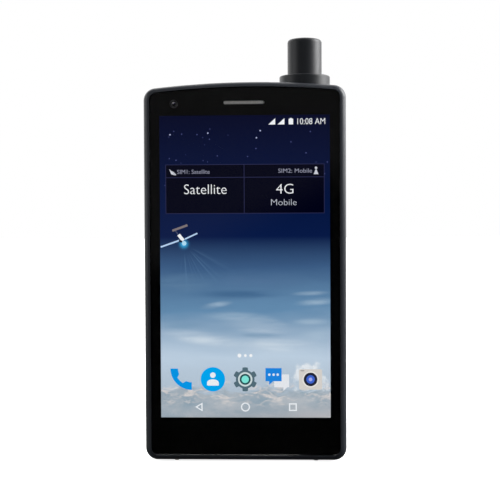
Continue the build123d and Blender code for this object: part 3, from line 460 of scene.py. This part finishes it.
def cloudy_sky(shader, split, across, up):
    """The sky's gradient, bent a little by drifting bands, with torn streaks and heaps of cloud on it."""
    drift = shader.noise(26.0, (2.4, 1, 0.6), 4.0, 0.55, 0.31)
    bent = shader.maths("MULTIPLY_ADD", shader.maths("SUBTRACT", drift, 0.5), 0.10, up)
    depth_mask = shader.remap(up, 0.58, 0.44, smooth=True)
    height = shader.add("ShaderNodeMix", {0: depth_mask, 2: up, 3: bent}, data_type="FLOAT").outputs[0]
    sky = shader.ramp(height, [(at, screen_colour(*colour)) for at, colour in SKY])
    wisps = shader.noise(9.0, (3.6, 1, 0.5), 7.0, 0.62, 0.12, 0.5)
    torn = shader.remap(wisps, 0.36, 0.64, 0.25, 1.0, smooth=True)
    for centre, size, tilt, colour, strength in STREAKS:
        away = patch_distance(shader, split, centre, size, tilt)
        cover = shader.maths("MULTIPLY", shader.remap(away, 1.0, 0.1, 0.0, strength, smooth=True), torn)
        sky = shader.blend(cover, sky, screen_colour(*colour))
    sky = standing_cloud(shader, sky, split)
    return heaped_cloud(shader, sky, across, up)


def patch_distance(shader, split, centre, size, tilt):
    """Distance from the middle of a tilted oval patch, which is 1 at its edge."""
    aside = shader.maths("SUBTRACT", split.outputs[0], (SCREEN_LEFT + centre[0]) * MM)
    above = shader.maths("SUBTRACT", split.outputs[2], (SCREEN_LOW + centre[1]) * MM)
    sine, cosine = math.sin(math.radians(tilt)), math.cos(math.radians(tilt))
    along = shader.maths("MULTIPLY_ADD", aside, cosine, shader.maths("MULTIPLY", above, sine))
    over = shader.maths("MULTIPLY_ADD", above, cosine, shader.maths("MULTIPLY", aside, -sine))
    first = shader.maths("MULTIPLY", along, 1 / (size[0] * MM))
    second = shader.maths("MULTIPLY", over, 1 / (size[1] * MM))
    squares = shader.maths("MULTIPLY_ADD", first, first, shader.maths("MULTIPLY", second, second))
    return shader.maths("SQRT", squares)


def standing_cloud(shader, sky, split):
    """A tall white cloud at the right, with a ragged bright top."""
    away = patch_distance(shader, split, (57.0, 13.5), (8.0, 8.2), 0)
    ragged = shader.noise(4.0, detail=8.0, rough=0.65, start=0.41)
    edge = shader.maths("MULTIPLY_ADD", ragged, -1.3, away)
    inside = shader.remap(edge, 0.30, 0.0, 0.0, 0.8, smooth=True)
    lit_side = shader.remap(ragged, 0.42, 0.62)
    body = shader.blend(lit_side, screen_colour(186, 202, 216), screen_colour(236, 240, 243))
    return shader.blend(inside, sky, body)


def heaped_cloud(shader, sky, across, up):
    """Heaps of cloud along the bottom, with warm lit crests and grey hollows."""
    heap = shader.noise(5.0, (2.0, 1, 0.9), 9.0, 0.66, 0.77, 0.6)
    crest = shader.maths("MULTIPLY_ADD", heap, -0.13, up)
    inside = shader.remap(crest, 0.036, 0.012, smooth=True)
    shade = shader.remap(shader.noise(8.0, (1.8, 1, 0.8), 6.0, 0.6, 0.23), 0.38, 0.62)
    body = shader.blend(shade, screen_colour(138, 158, 172), screen_colour(178, 184, 190))
    warm = shader.maths("MULTIPLY", across, shader.remap(up, 0.05, 0.0, 0.0, 0.7))
    body = shader.blend(warm, body, screen_colour(196, 188, 186))
    sky = shader.blend(shader.maths("MULTIPLY", inside, 0.85), sky, body)
    fine = shader.remap(shader.noise(2.6, (2.2, 1, 0.9), 6.0, 0.65, 0.61, 0.8), 0.50, 0.62)
    band = shader.maths("MULTIPLY", shader.remap(crest, -0.03, 0.012), shader.remap(crest, 0.05, 0.03))
    rim = shader.maths("MULTIPLY", fine, band)
    return shader.blend(shader.maths("MULTIPLY", rim, 0.75), sky, screen_colour(230, 220, 214))


def satellite_glow(shader, sky, split):
    """A blue glow under the satellite, and faint beams that fan out from it."""
    aside = shader.maths("SUBTRACT", split.outputs[0], (SCREEN_LEFT + SATELLITE[0]) * MM)
    below = shader.maths("SUBTRACT", (SCREEN_LOW + SATELLITE[1]) * MM, split.outputs[2])
    squares = shader.maths("MULTIPLY_ADD", aside, aside, shader.maths("MULTIPLY", below, below))
    away = shader.maths("SQRT", squares)
    halo = shader.remap(away, 0.2 * MM, 3.2 * MM, 1.0, 0.0, smooth=True)
    sky = shader.blend(shader.maths("POWER", halo, 2.2), sky, screen_colour(60, 176, 232))
    angle = shader.maths("ARCTAN2", below, aside)
    rays = shader.add("ShaderNodeTexNoise", {"W": angle, "Scale": 9.0, "Detail": 3.0}, noise_dimensions="1D")
    streak = shader.remap(rays.outputs["Fac"], 0.50, 0.66)
    fan = shader.maths("MULTIPLY", shader.remap(angle, 0.20, 0.42), shader.remap(angle, 1.75, 1.45))
    reach = shader.maths("MULTIPLY", shader.remap(away, 3 * MM, 6 * MM), shader.remap(away, 24 * MM, 8 * MM))
    beam = shader.maths("MULTIPLY", shader.maths("MULTIPLY", fan, reach), streak)
    return shader.blend(shader.maths("MULTIPLY", beam, 0.3), sky, screen_colour(96, 134, 170))


# ---------------------------------------------------------------- new pieces


def add_piece(name, mesh, material, body):
    """A new object that rides on a CAD body and takes the material it is given."""
    piece = bpy.data.objects.new(name, mesh)
    bpy.context.scene.collection.objects.link(piece)
    mesh.materials.clear()
    mesh.materials.append(material)
    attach(piece, body)
    return piece


def mesh_of(curve, matrix):
    """A plain mesh of a curve or text, moved by a matrix."""
    holder = bpy.data.objects.new(curve.name, curve)
    bpy.context.scene.collection.objects.link(holder)
    graph = bpy.context.evaluated_depsgraph_get()
    mesh = bpy.data.meshes.new_from_object(holder.evaluated_get(graph))
    bpy.data.objects.remove(holder)
    mesh.transform(matrix)
    return mesh


def screen_matrix(layer):
    """Takes a flat drawing in screen millimetres to its layer in front of the display."""
    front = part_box("display_panel")[0].y
    corner = Vector((SCREEN_LEFT * MM, front - layer * LAYER_STEP * MM, SCREEN_LOW * MM))
    return Matrix.Translation(corner) @ Matrix.Rotation(math.pi / 2, 4, "X") @ Matrix.Scale(MM, 4)


def plate(name, outlines, layer, colour, strength=1.0):
    """A thin lit plate from closed outlines in screen millimetres; an outline inside another is a hole."""
    curve = bpy.data.curves.new(name, "CURVE")
    curve.dimensions = "2D"
    curve.fill_mode = "BOTH"
    curve.extrude = PLATE_THICKNESS / 2
    for outline in outlines:
        spline = curve.splines.new("POLY")
        spline.points.add(len(outline) - 1)
        for point, (aside, up) in zip(spline.points, outline):
            point.co = (aside, up, 0, 1)
        spline.use_cyclic_u = True
    mesh = mesh_of(curve, screen_matrix(layer))
    return add_piece(name, mesh, lit(name + "_lit", screen_colour(*colour), strength), "handset")


def words(name, text, box, layer, colour, thinning=0.0):
    """Lit lettering in the built-in typeface, fitted to a box (left, low, right, high)."""
    left, low, right, high = box
    curve = bpy.data.curves.new(name, "FONT")
    curve.body = text
    curve.extrude = PLATE_THICKNESS / 2
    curve.offset = -thinning
    curve.resolution_u = 4
    flat = mesh_of(curve, Matrix.Identity(4))
    corners = [vertex.co for vertex in flat.vertices]
    start = Vector(min(corner[axis] for corner in corners) for axis in range(2))
    end = Vector(max(corner[axis] for corner in corners) for axis in range(2))
    stretch = ((right - left) / (end.x - start.x), (high - low) / (end.y - start.y))
    for vertex in flat.vertices:
        vertex.co.x = left + (vertex.co.x - start.x) * stretch[0]
        vertex.co.y = low + (vertex.co.y - start.y) * stretch[1]
    flat.transform(screen_matrix(layer))
    return add_piece(name, flat, lit(name + "_lit", screen_colour(*colour)), "handset")


def arc(centre, radius, start, end, steps=ARC_STEPS):
    """Points along an arc; angles in degrees, anticlockwise from the right."""
    turns = [math.radians(start + (end - start) * step / steps) for step in range(steps + 1)]
    return [(centre[0] + radius * math.cos(t), centre[1] + radius * math.sin(t)) for t in turns]


def disc(centre, radius, steps=ARC_STEPS):
    """A circle's outline."""
    return arc(centre, radius, 0, 360, steps)[:-1]


def box_outline(left, low, right, high, corner=0.0):
    """A rectangle's outline, with round corners if asked."""
    if not corner:
        return [(left, low), (right, low), (right, high), (left, high)]
    points = []
    for turn, x, z in ((180, left, low), (270, right, low), (0, right, high), (90, left, high)):
        centre = (x + corner if x == left else x - corner, z + corner if z == low else z - corner)
        points += arc(centre, corner, turn, turn + 90, 6)
    return points


def bar(start, end, width):
    """A straight bar's outline from one point to another."""
    along = Vector(end) - Vector(start)
    aside = Vector((-along.y, along.x)).normalized() * width / 2
    first, last = Vector(start), Vector(end)
    return [tuple(first + aside), tuple(first - aside), tuple(last - aside), tuple(last + aside)]


def ring_outline(centre, outer, inner):
    """A ring's two outlines."""
    return [disc(centre, outer), disc(centre, inner)]


# ---------------------------------------------------------------- the home screen

WHITE = (245, 247, 250)
PANEL_LINE = (42, 44, 80)
PANEL = (2.2, 77.8, 62.7, 96.6)
PANEL_MIDDLE = 32.2
PANEL_HEADER = 91.6
LINE_WIDTH = 0.24
STAR_COUNT = 60
STAR_SEED = 4


def draw_stars():
    """Small stars over the dark part of the sky."""
    draw = random.Random(STAR_SEED)
    bright, faint = [], []
    for _ in range(STAR_COUNT):
        place = (draw.uniform(0.8, SCREEN_WIDTH - 0.8), draw.uniform(80, SCREEN_HEIGHT - 5))
        size = draw.choice((0.12, 0.16, 0.2, 0.22, 0.3))
        inside_panel = PANEL[1] - 0.5 < place[1] < PANEL[3] + 0.5 and PANEL[0] < place[0] < PANEL[2]
        if not inside_panel:
            (bright if size > 0.25 else faint).append(disc(place, size, 10))
    plate("star_bright", bright, 1, (176, 184, 222))
    plate("star_faint", faint, 1, (84, 92, 150))


def draw_satellite():
    """A small generic satellite: a body between two long panels, with a tail panel above."""
    x, z = SATELLITE
    plate("satellite_wings", [bar((x - 8.9, z - 1.1), (x - 1.7, z + 1.4), 0.62),
                              bar((x + 0.4, z + 1.9), (x + 5.2, z + 4.1), 0.55)], 2, (186, 214, 246))
    plate("satellite_tail", [bar((x - 4.4, z + 5.1), (x + 1.4, z + 7.2), 0.85)], 2, (128, 118, 120))
    plate("satellite_strut", [bar((x - 3.2, z + 5.0), (x - 1.9, z + 3.4), 0.25)], 2, (86, 92, 120))
    plate("satellite_body", [bar((x - 2.0, z + 3.6), (x - 0.2, z + 1.3), 1.25)], 3, WHITE)
    plate("satellite_shade", [bar((x - 1.9, z + 1.3), (x - 0.6, z + 0.9), 0.75)], 3, (14, 24, 44))
    plate("satellite_dish", [disc((x + 0.1, z + 0.3), 0.85)], 2, (178, 226, 248))


def draw_status_bar():
    """Two signal wedges, a battery and the time."""
    low, high = 111.5, 113.9
    wedges = [[(left, low), (left + 2.6, low), (left + 2.6, high)] for left in (41.5, 45.0)]
    plate("status_signal", wedges, 1, WHITE)
    battery = box_outline(49.2, low, 50.9, high - 0.25, 0.2)
    nub = box_outline(49.7, high - 0.25, 50.4, high)
    plate("status_battery", [battery, nub], 1, WHITE)
    words("status_time", "10:08 AM", (52.5, low, 63.0, high - 0.1), 1, WHITE, LETTER_THINNING / 2)


def draw_network_panel():
    """The two-cell panel that shows both networks."""
    left, low, right, high = PANEL
    half = LINE_WIDTH / 2
    plate("panel_shade", [box_outline(*PANEL)], 1, (1, 2, 22))
    rim = [box_outline(left, low, right, high)]
    rim.append(box_outline(left + LINE_WIDTH, low + LINE_WIDTH, right - LINE_WIDTH, high - LINE_WIDTH))
    plate("panel_rim", rim, 2, PANEL_LINE)
    header = box_outline(left, PANEL_HEADER - half, right, PANEL_HEADER + half)
    plate("panel_header_line", [header], 3, PANEL_LINE)
    middle = box_outline(PANEL_MIDDLE - half, low, PANEL_MIDDLE + half, high)
    plate("panel_middle_line", [middle], 4, PANEL_LINE)
    words("panel_header_left", "SIM1: Satellite", (6.7, 93.0, 19.1, 94.6), 3, (150, 152, 172))
    words("panel_header_right", "SIM2: Mobile", (45.2, 93.2, 58.0, 94.8), 3, (150, 152, 172))
    words("panel_network_left", "Satellite", (9.3, 85.3, 25.5, 89.0), 3, WHITE, LETTER_THINNING)
    words("panel_network_right", "4G", (44.3, 85.3, 50.9, 89.0), 3, WHITE, LETTER_THINNING)
    words("panel_network_note", "Mobile", (42.4, 80.9, 52.1, 83.2), 3, (190, 194, 206), LETTER_THINNING)
    dish = [(3.7, 94.9), (4.4, 92.9), (6.1, 92.7)]
    plate("panel_dish", [dish, bar((4.9, 93.9), (6.2, 92.6), 0.4)], 3, (216, 218, 228))
    mast = [(58.6, 92.6), (60.4, 92.6), (59.7, 94.4), (59.3, 94.4)]
    plate("panel_mast", [mast, disc((59.5, 95.0), 0.5, 16)], 3, (206, 208, 218))


def draw_page_dots():
    """Three page dots, the first one larger."""
    dots = [disc((x, 23.7), radius, 20) for x, radius in ((30.1, 0.75), (32.35, 0.55), (34.45, 0.6))]
    plate("page_dots", dots, 1, (250, 252, 254))


def draw_call_icon(x, z):
    """A handset: a bent grip between two blocks."""
    corner = (x + 4.1, z + 4.1)
    outer = arc(corner, 8.15, 180, 270)
    inner = arc(corner, 5.25, 270, 246, 8) + arc(corner, 6.5, 238, 212, 12) + arc(corner, 5.25, 204, 180, 8)
    plate("icon_call", [outer + inner], 1, (8, 152, 234))


def draw_contact_icon(x, z):
    """A head and shoulders on a disc."""
    plate("icon_contact_disc", [disc((x, z), 4.65)], 1, (3, 169, 244))
    head = disc((x, z + 1.6), 1.05)
    rise = [(x + 2.25 * a, z - 1.3 + 1.3 * b) for a, b in arc((0, 0), 1, 0, 180, 20)]
    shoulders = rise + [(x - 2.25, z - 2.2), (x - 2.0, z - 2.4), (x + 2.0, z - 2.4), (x + 2.25, z - 2.2)]
    plate("icon_contact_person", [head, shoulders], 2, WHITE)


def draw_settings_icon(x, z):
    """A six-toothed gear with rings in its middle."""
    outline = []
    for tooth in range(6):
        turn = 90 + 60 * tooth
        outline += arc((x, z), 3.55, turn - 42, turn - 18, 6)
        outline += arc((x, z), 4.6, turn - 13, turn + 13, 4)
    plate("icon_settings_gear", [outline], 1, (86, 112, 124))
    rings = (("rim", 2.75, (214, 228, 230)), ("well", 2.1, (40, 84, 88)), ("lens", 1.4, (132, 240, 226)))
    for layer, (part, radius, colour) in enumerate(rings, 2):
        plate("icon_settings_" + part, [disc((x, z), radius)], layer, colour)


def speech_bubble(left, low, right, high, tail):
    """A rectangular speech bubble's outline, with its tail going down at tail."""
    foot = [(tail, low), (tail, low - 1.4), (tail + 1.5, low)]
    return [(left, low)] + foot + [(right, low), (right, high), (left, high)]


def draw_message_icon(x, z):
    """A blue bubble with three dots, over a white one."""
    back = speech_bubble(x - 0.3, z - 2.9, x + 5.4, z + 2.0, x + 3.2)
    plate("icon_message_back", [back], 1, (238, 241, 246))
    front = speech_bubble(x - 3.6, z - 0.6, x + 2.55, z + 4.4, x - 2.2)
    plate("icon_message_front", [front], 2, (30, 136, 229))
    dots = [disc((x + step, z + 1.9), 0.48, 16) for step in (-2.15, -0.5, 1.05)]
    plate("icon_message_dots", dots, 3, (232, 242, 252))


def draw_camera_icon(x, z):
    """A pale square camera with a round lens."""
    plate("icon_camera_body", [box_outline(x - 4.4, z - 3.9, x + 4.4, z + 3.9, 0.7)], 1, (222, 217, 211))
    plate("icon_camera_slot", [bar((x - 3.8, z + 3.3), (x - 2.4, z + 3.3), 0.35)], 2, (150, 148, 146))
    rings = (
        ("ring", 3.05, (244, 240, 234)),
        ("dark", 2.6, (38, 42, 62)),
        ("blue", 1.6, (66, 104, 214)),
        ("glint", 0.7, (170, 180, 246)),
    )
    for layer, (part, radius, colour) in enumerate(rings, 2):
        plate("icon_camera_" + part, [disc((x, z), radius)], layer, colour)


def draw_navigation():
    """Outlined back, home and overview keys."""
    z, stroke = 4.0, 0.5
    back = [(13.0, z), (15.9, z - 1.7), (15.9, z + 1.7)]
    hole = [(13.9, z), (15.9 - stroke, z - 0.95), (15.9 - stroke, z + 0.95)]
    home = ring_outline((32.3, z), 1.75, 1.75 - stroke)
    overview = [box_outline(48.9, z - 1.5, 51.9, z + 1.5)]
    overview.append(box_outline(48.9 + stroke, z - 1.5 + stroke, 51.9 - stroke, z + 1.5 - stroke))
    plate("navigation_keys", [back, hole] + home + overview, 1, (238, 242, 246))


def draw_home_screen():
    """Everything on the wallpaper."""
    draw_stars()
    draw_satellite()
    draw_status_bar()
    draw_network_panel()
    draw_page_dots()
    draw_call_icon(7.7, 14.6)
    draw_contact_icon(19.9, 14.6)
    draw_settings_icon(32.25, 14.6)
    draw_message_icon(43.6, 14.5)
    draw_camera_icon(57.15, 14.6)
    draw_navigation()


# ---------------------------------------------------------------- small pieces on the body


def turned(name, profile, centre, axis, material, body, steps=64):
    """A piece turned about an axis from (radius, distance along the axis) points, in millimetres."""
    shape = bmesh.new()
    rows = []
    for radius, along in profile:
        if radius == 0:
            rows.append([shape.verts.new((0, 0, along * MM))])
            continue
        wide, row = radius * MM, []
        for step in range(steps):
            turn = 2 * math.pi * step / steps
            row.append(shape.verts.new((wide * math.cos(turn), wide * math.sin(turn), along * MM)))
        rows.append(row)
    for low, high in zip(rows, rows[1:]):
        for step in range(steps):
            after = (step + 1) % steps
            corners = [low[step % len(low)], low[after % len(low)]]
            corners += [high[after % len(high)], high[step % len(high)]]
            unique = list(dict.fromkeys(corners))
            if len(unique) > 2:
                shape.faces.new(unique)
    bmesh.ops.recalc_face_normals(shape, faces=shape.faces)
    mesh = bpy.data.meshes.new(name)
    shape.to_mesh(mesh)
    shape.free()
    mesh.shade_smooth()
    turn = Vector((0, 0, 1)).rotation_difference(Vector(axis)).to_matrix().to_4x4()
    mesh.transform(Matrix.Translation(centre) @ turn)
    return add_piece(name, mesh, material, body)


def tube(name, runs, radius, material, body, sides=6):
    """One piece of round wires: each run is a list of points in metres."""
    curve = bpy.data.curves.new(name, "CURVE")
    curve.dimensions = "3D"
    curve.bevel_depth = radius * MM
    curve.bevel_resolution = sides // 2 - 1
    curve.use_fill_caps = True
    for run in runs:
        spline = curve.splines.new("POLY")
        spline.points.add(len(run) - 1)
        for point, place in zip(spline.points, run):
            point.co = (*place, 1)
    mesh = mesh_of(curve, Matrix.Identity(4))
    mesh.shade_smooth()
    return add_piece(name, mesh, material, body)


def weave_earpiece(materials):
    """Real wires over the earpiece: long ones across, short ones down, over and under each other."""
    low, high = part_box("earpiece_mesh")
    radius, pitch = 0.07, 0.24
    front = low.y - radius * MM * 0.2
    margin = 0.10 * MM
    runs = []
    rows = int((high.z - low.z - 2 * margin) / (pitch * MM)) + 1
    columns = int((high.x - low.x - 4 * margin) / (pitch * MM)) + 1
    middle = (low + high) / 2
    start = Vector((middle.x - (columns - 1) * pitch * MM / 2, 0, middle.z - (rows - 1) * pitch * MM / 2))
    for row in range(rows):
        run = []
        for column in range(columns):
            lift = (-1) ** (row + column) * radius * MM * 0.5
            run.append((start.x + column * pitch * MM, front + lift, start.z + row * pitch * MM))
        runs.append(run)
    for column in range(columns):
        run = []
        for row in range(rows):
            lift = (-1) ** (row + column + 1) * radius * MM * 0.5
            run.append((start.x + column * pitch * MM, front + lift, start.z + row * pitch * MM))
        runs.append(run)
    tube("earpiece_weave", runs, radius, materials["mesh_metal"], "handset")


def front_lens():
    """The front camera's stepped barrel and its small domed lens, behind the cover glass."""
    low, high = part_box("front_camera")
    centre = Vector(((low.x + high.x) / 2, low.y, (low.z + high.z) / 2))
    barrel = moulded("front_barrel_grain", (0.055, 0.056, 0.060, 1), 0.50, 0.2, 0.006)
    steps = [(1.48, 0.0), (1.48, 0.015), (1.25, 0.02), (1.22, -0.05), (0.8, -0.05), (0.8, 0.0)]
    turned("front_camera_ring", steps, centre, (0, -1, 0), barrel, "handset")
    dome = [(0.78, -0.30)] + [(0.78 * math.cos(t), -0.30 + 0.16 * math.sin(t)) for t in
                              [math.pi / 2 * step / 10 for step in range(1, 10)]] + [(0, -0.14)]
    coat = coated_lens("front_lens_coat")
    turned("front_camera_lens", dome, centre, (0, -1, 0), coat, "handset")


def rear_lens():
    """Inside the rear camera's window: a stepped light trap round a domed front element."""
    low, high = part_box("camera_window")
    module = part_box("rear_camera")[1].y
    centre = Vector(((low.x + high.x) / 2, module, (low.z + high.z) / 2))
    trap = moulded("rear_trap_grain", (0.012, 0.012, 0.014, 1), 0.45, 0.2, 0.01)
    ledges = [(4.1, 0.0)]
    for step in range(4):
        radius = 3.9 - 0.42 * step
        top = 0.62 - 0.14 * step
        ledges += [(radius, top), (radius - 0.16, top), (radius - 0.2, top - 0.12)]
    ledges += [(2.2, 0.0)]
    turned("rear_camera_trap", ledges, centre, (0, 1, 0), trap, "handset")
    dome = [(2.2 * math.cos(t), 0.5 * math.sin(t)) for t in [math.pi / 2 * step / 14 for step in range(14)]]
    coat = coated_lens("rear_lens_coat")
    turned("rear_camera_lens", dome + [(0, 0.5)], centre, (0, 1, 0), coat, "handset")


def tiles(name, centres, size, round_edge, material, body):
    """One piece of equal tiles that stand up from their centres towards the back; size in metres."""
    shape = bmesh.new()
    for centre in centres:
        for vertex in bmesh.ops.create_cube(shape, size=1.0)["verts"]:
            x, y, z = vertex.co
            vertex.co = Vector(centre) + Vector((x * size[0], (y + 0.5) * size[1], z * size[2]))
    bmesh.ops.bevel(shape, geom=shape.edges[:], offset=round_edge, segments=2, affect="EDGES")
    mesh = bpy.data.meshes.new(name)
    shape.to_mesh(mesh)
    shape.free()
    add_piece(name, mesh, material, body)


def flash_phosphor():
    """The two phosphor squares on the flash diode."""
    low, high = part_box("flash_led")
    width = (high.x - low.x) * 0.40
    middle = (low + high) / 2
    centres = [(middle.x + side * width * 0.56, high.y, middle.z) for side in (-1, 1)]
    size = (width, 0.12 * MM, width * 1.6)
    tiles("flash_phosphor", centres, size, 0.04 * MM, phosphor("phosphor_yellow"), "handset")


def card_contacts(materials):
    """Six gold contacts on the back of each card in the tray."""
    low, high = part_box("sim_cards")
    middle = (low.z + high.z) / 2
    starts = (low.x, high.x - CARD_LENGTH * MM)
    centres = [(start + (3.2 + 3.1 * column) * MM, high.y, middle + (row - 1) * 2.5 * MM)
               for start in starts for column in range(2) for row in range(3)]
    tiles("card_contacts", centres, (2.8 * MM, 0.02 * MM, 2.2 * MM), 0.005 * MM, materials["gold"],
          "sim_tray")


# ---------------------------------------------------------------- floor, lights, camera


def make_floor():
    """A plain white floor under the object."""
    half = 6.0
    mesh = bpy.data.meshes.new("floor")
    corners = [(-half, -half, 0), (half, -half, 0), (half, half, 0), (-half, half, 0)]
    mesh.from_pydata(corners, [], [(0, 1, 2, 3)])
    floor = bpy.data.objects.new("floor", mesh)
    bpy.context.scene.collection.objects.link(floor)
    shader = Shader("floor_paper", {"IOR": 1.4, "Specular IOR Level": 0.0, "Emission Strength": 1.0})
    fibre = shader.noise(1.2, detail=4.0)
    shader.give("Base Color", shader.blend(fibre, (0.93, 0.93, 0.93, 1), (0.96, 0.96, 0.96, 1)))
    away = shader.add("ShaderNodeVectorMath", {0: shader.place()}, operation="LENGTH").outputs["Value"]
    far = shader.remap(away, 0.10, 0.6, smooth=True)
    shader.give("Emission Color", shader.blend(far, (0.86, 0.86, 0.86, 1), (1, 1, 1, 1)))
    shader.give("Roughness", shader.remap(fibre, 0.3, 0.7, 0.7, 0.9))
    mesh.materials.append(shader.material)
    floor.visible_glossy = False
    floor.visible_diffuse = False
    floor.visible_transmission = False


def soft_light(name, place, target, width, height, power, glossy=True):
    """A softbox at a place, aimed at a target; both in metres."""
    light = bpy.data.lights.new(name, "AREA")
    light.shape = "RECTANGLE"
    light.size = width
    light.size_y = height
    light.energy = power
    lamp = bpy.data.objects.new(name, light)
    bpy.context.scene.collection.objects.link(lamp)
    lamp.location = place
    lamp.rotation_euler = (Vector(target) - Vector(place)).to_track_quat("-Z", "Y").to_euler()
    lamp.visible_camera = False
    lamp.visible_glossy = glossy


def make_lights(middle):
    """A wide frontal softbox for the matt surfaces, and side softboxes that draw the edges."""
    soft_light("front_softbox", middle + Vector((-0.35, -1.1, 0.75)), middle, 0.9, 0.9, 6.0, False)
    upper = middle + Vector((0, 0, 0.05))
    soft_light("right_softbox", middle + Vector((0.42, 0.02, 0.26)), upper, 0.35, 0.35, 4.0)
    soft_light("left_softbox", middle + Vector((-0.9, -0.25, 0.25)), middle, 0.5, 0.7, 1.6)
    soft_light("back_softbox", middle + Vector((0.3, 1.1, 0.7)), middle, 0.9, 0.9, 8.0, False)


def make_world():
    """White where the camera sees it. In reflections: a white backdrop behind the object that fades
    towards the floor, a dark studio in front of it, and a dim ceiling with a slanted lower edge."""
    world = bpy.data.worlds.new("studio")
    bpy.context.scene.world = world
    world.use_nodes = True
    tree = world.node_tree
    tree.nodes.clear()
    shader = WorldShader(tree)
    direction = shader.add("ShaderNodeTexCoord").outputs["Generated"]
    split = shader.add("ShaderNodeSeparateXYZ", {"Vector": direction})
    aside, ahead, up = split.outputs
    backdrop = shader.remap(ahead, 0.05, 0.45, smooth=True)
    fade = shader.remap(up, -0.22, 0.16, 0.15, 1.7, smooth=True)
    lean = shader.maths("MULTIPLY_ADD", aside, -0.49, up)
    ceiling = shader.remap(lean, 0.0, 0.045, 0.0, 0.045, smooth=True)
    glow = shader.add("ShaderNodeMix", {0: backdrop, 2: ceiling, 3: fade}, data_type="FLOAT").outputs[0]
    rays = shader.add("ShaderNodeLightPath")
    seen = shader.add("ShaderNodeMix", {0: rays.outputs["Is Camera Ray"], 2: glow, 3: 1.0}, data_type="FLOAT")
    light = shader.add("ShaderNodeBackground", {"Strength": seen.outputs[0], "Color": (1, 1, 1, 1)})
    shader.add("ShaderNodeOutputWorld", {"Surface": light.outputs[0]})


class WorldShader(Shader):
    """The same short calls, on the world's nodes."""

    def __init__(self, tree):
        self.tree = tree


def make_camera(middle):
    """The camera, level with the upper half of the object and a little to its right."""
    turn = Matrix.Rotation(math.radians(ROLL), 3, "Y")
    turn = turn @ Matrix.Rotation(math.radians(PITCH), 3, "X") @ Matrix.Rotation(math.radians(YAW), 3, "Z")
    back = turn.transposed()
    right, ahead, up = back.col
    axes = Matrix((right, up, -ahead)).transposed().to_4x4()
    place = middle - back @ Vector((SHIFT_ASIDE, DISTANCE, SHIFT_UP)) * MM
    data = bpy.data.cameras.new("camera")
    data.lens = LENS
    data.sensor_width = SENSOR
    data.clip_start = 0.01
    camera = bpy.data.objects.new("camera", data)
    bpy.context.scene.collection.objects.link(camera)
    camera.matrix_world = Matrix.Translation(place) @ axes
    bpy.context.scene.camera = camera


def main():
    """Builds the scene."""
    low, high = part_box("front_frame")
    middle = Vector((0, -3.5 * MM, (low.z + high.z) / 2 + 0.55 * MM))
    make_camera(middle)
    materials = make_slot_materials()
    dress_cad_nodes(materials)
    draw_home_screen()
    weave_earpiece(materials)
    front_lens()
    rear_lens()
    flash_phosphor()
    card_contacts(materials)
    make_floor()
    make_lights(middle)
    make_world()
    bpy.context.scene.view_settings.view_transform = "Standard"


main()
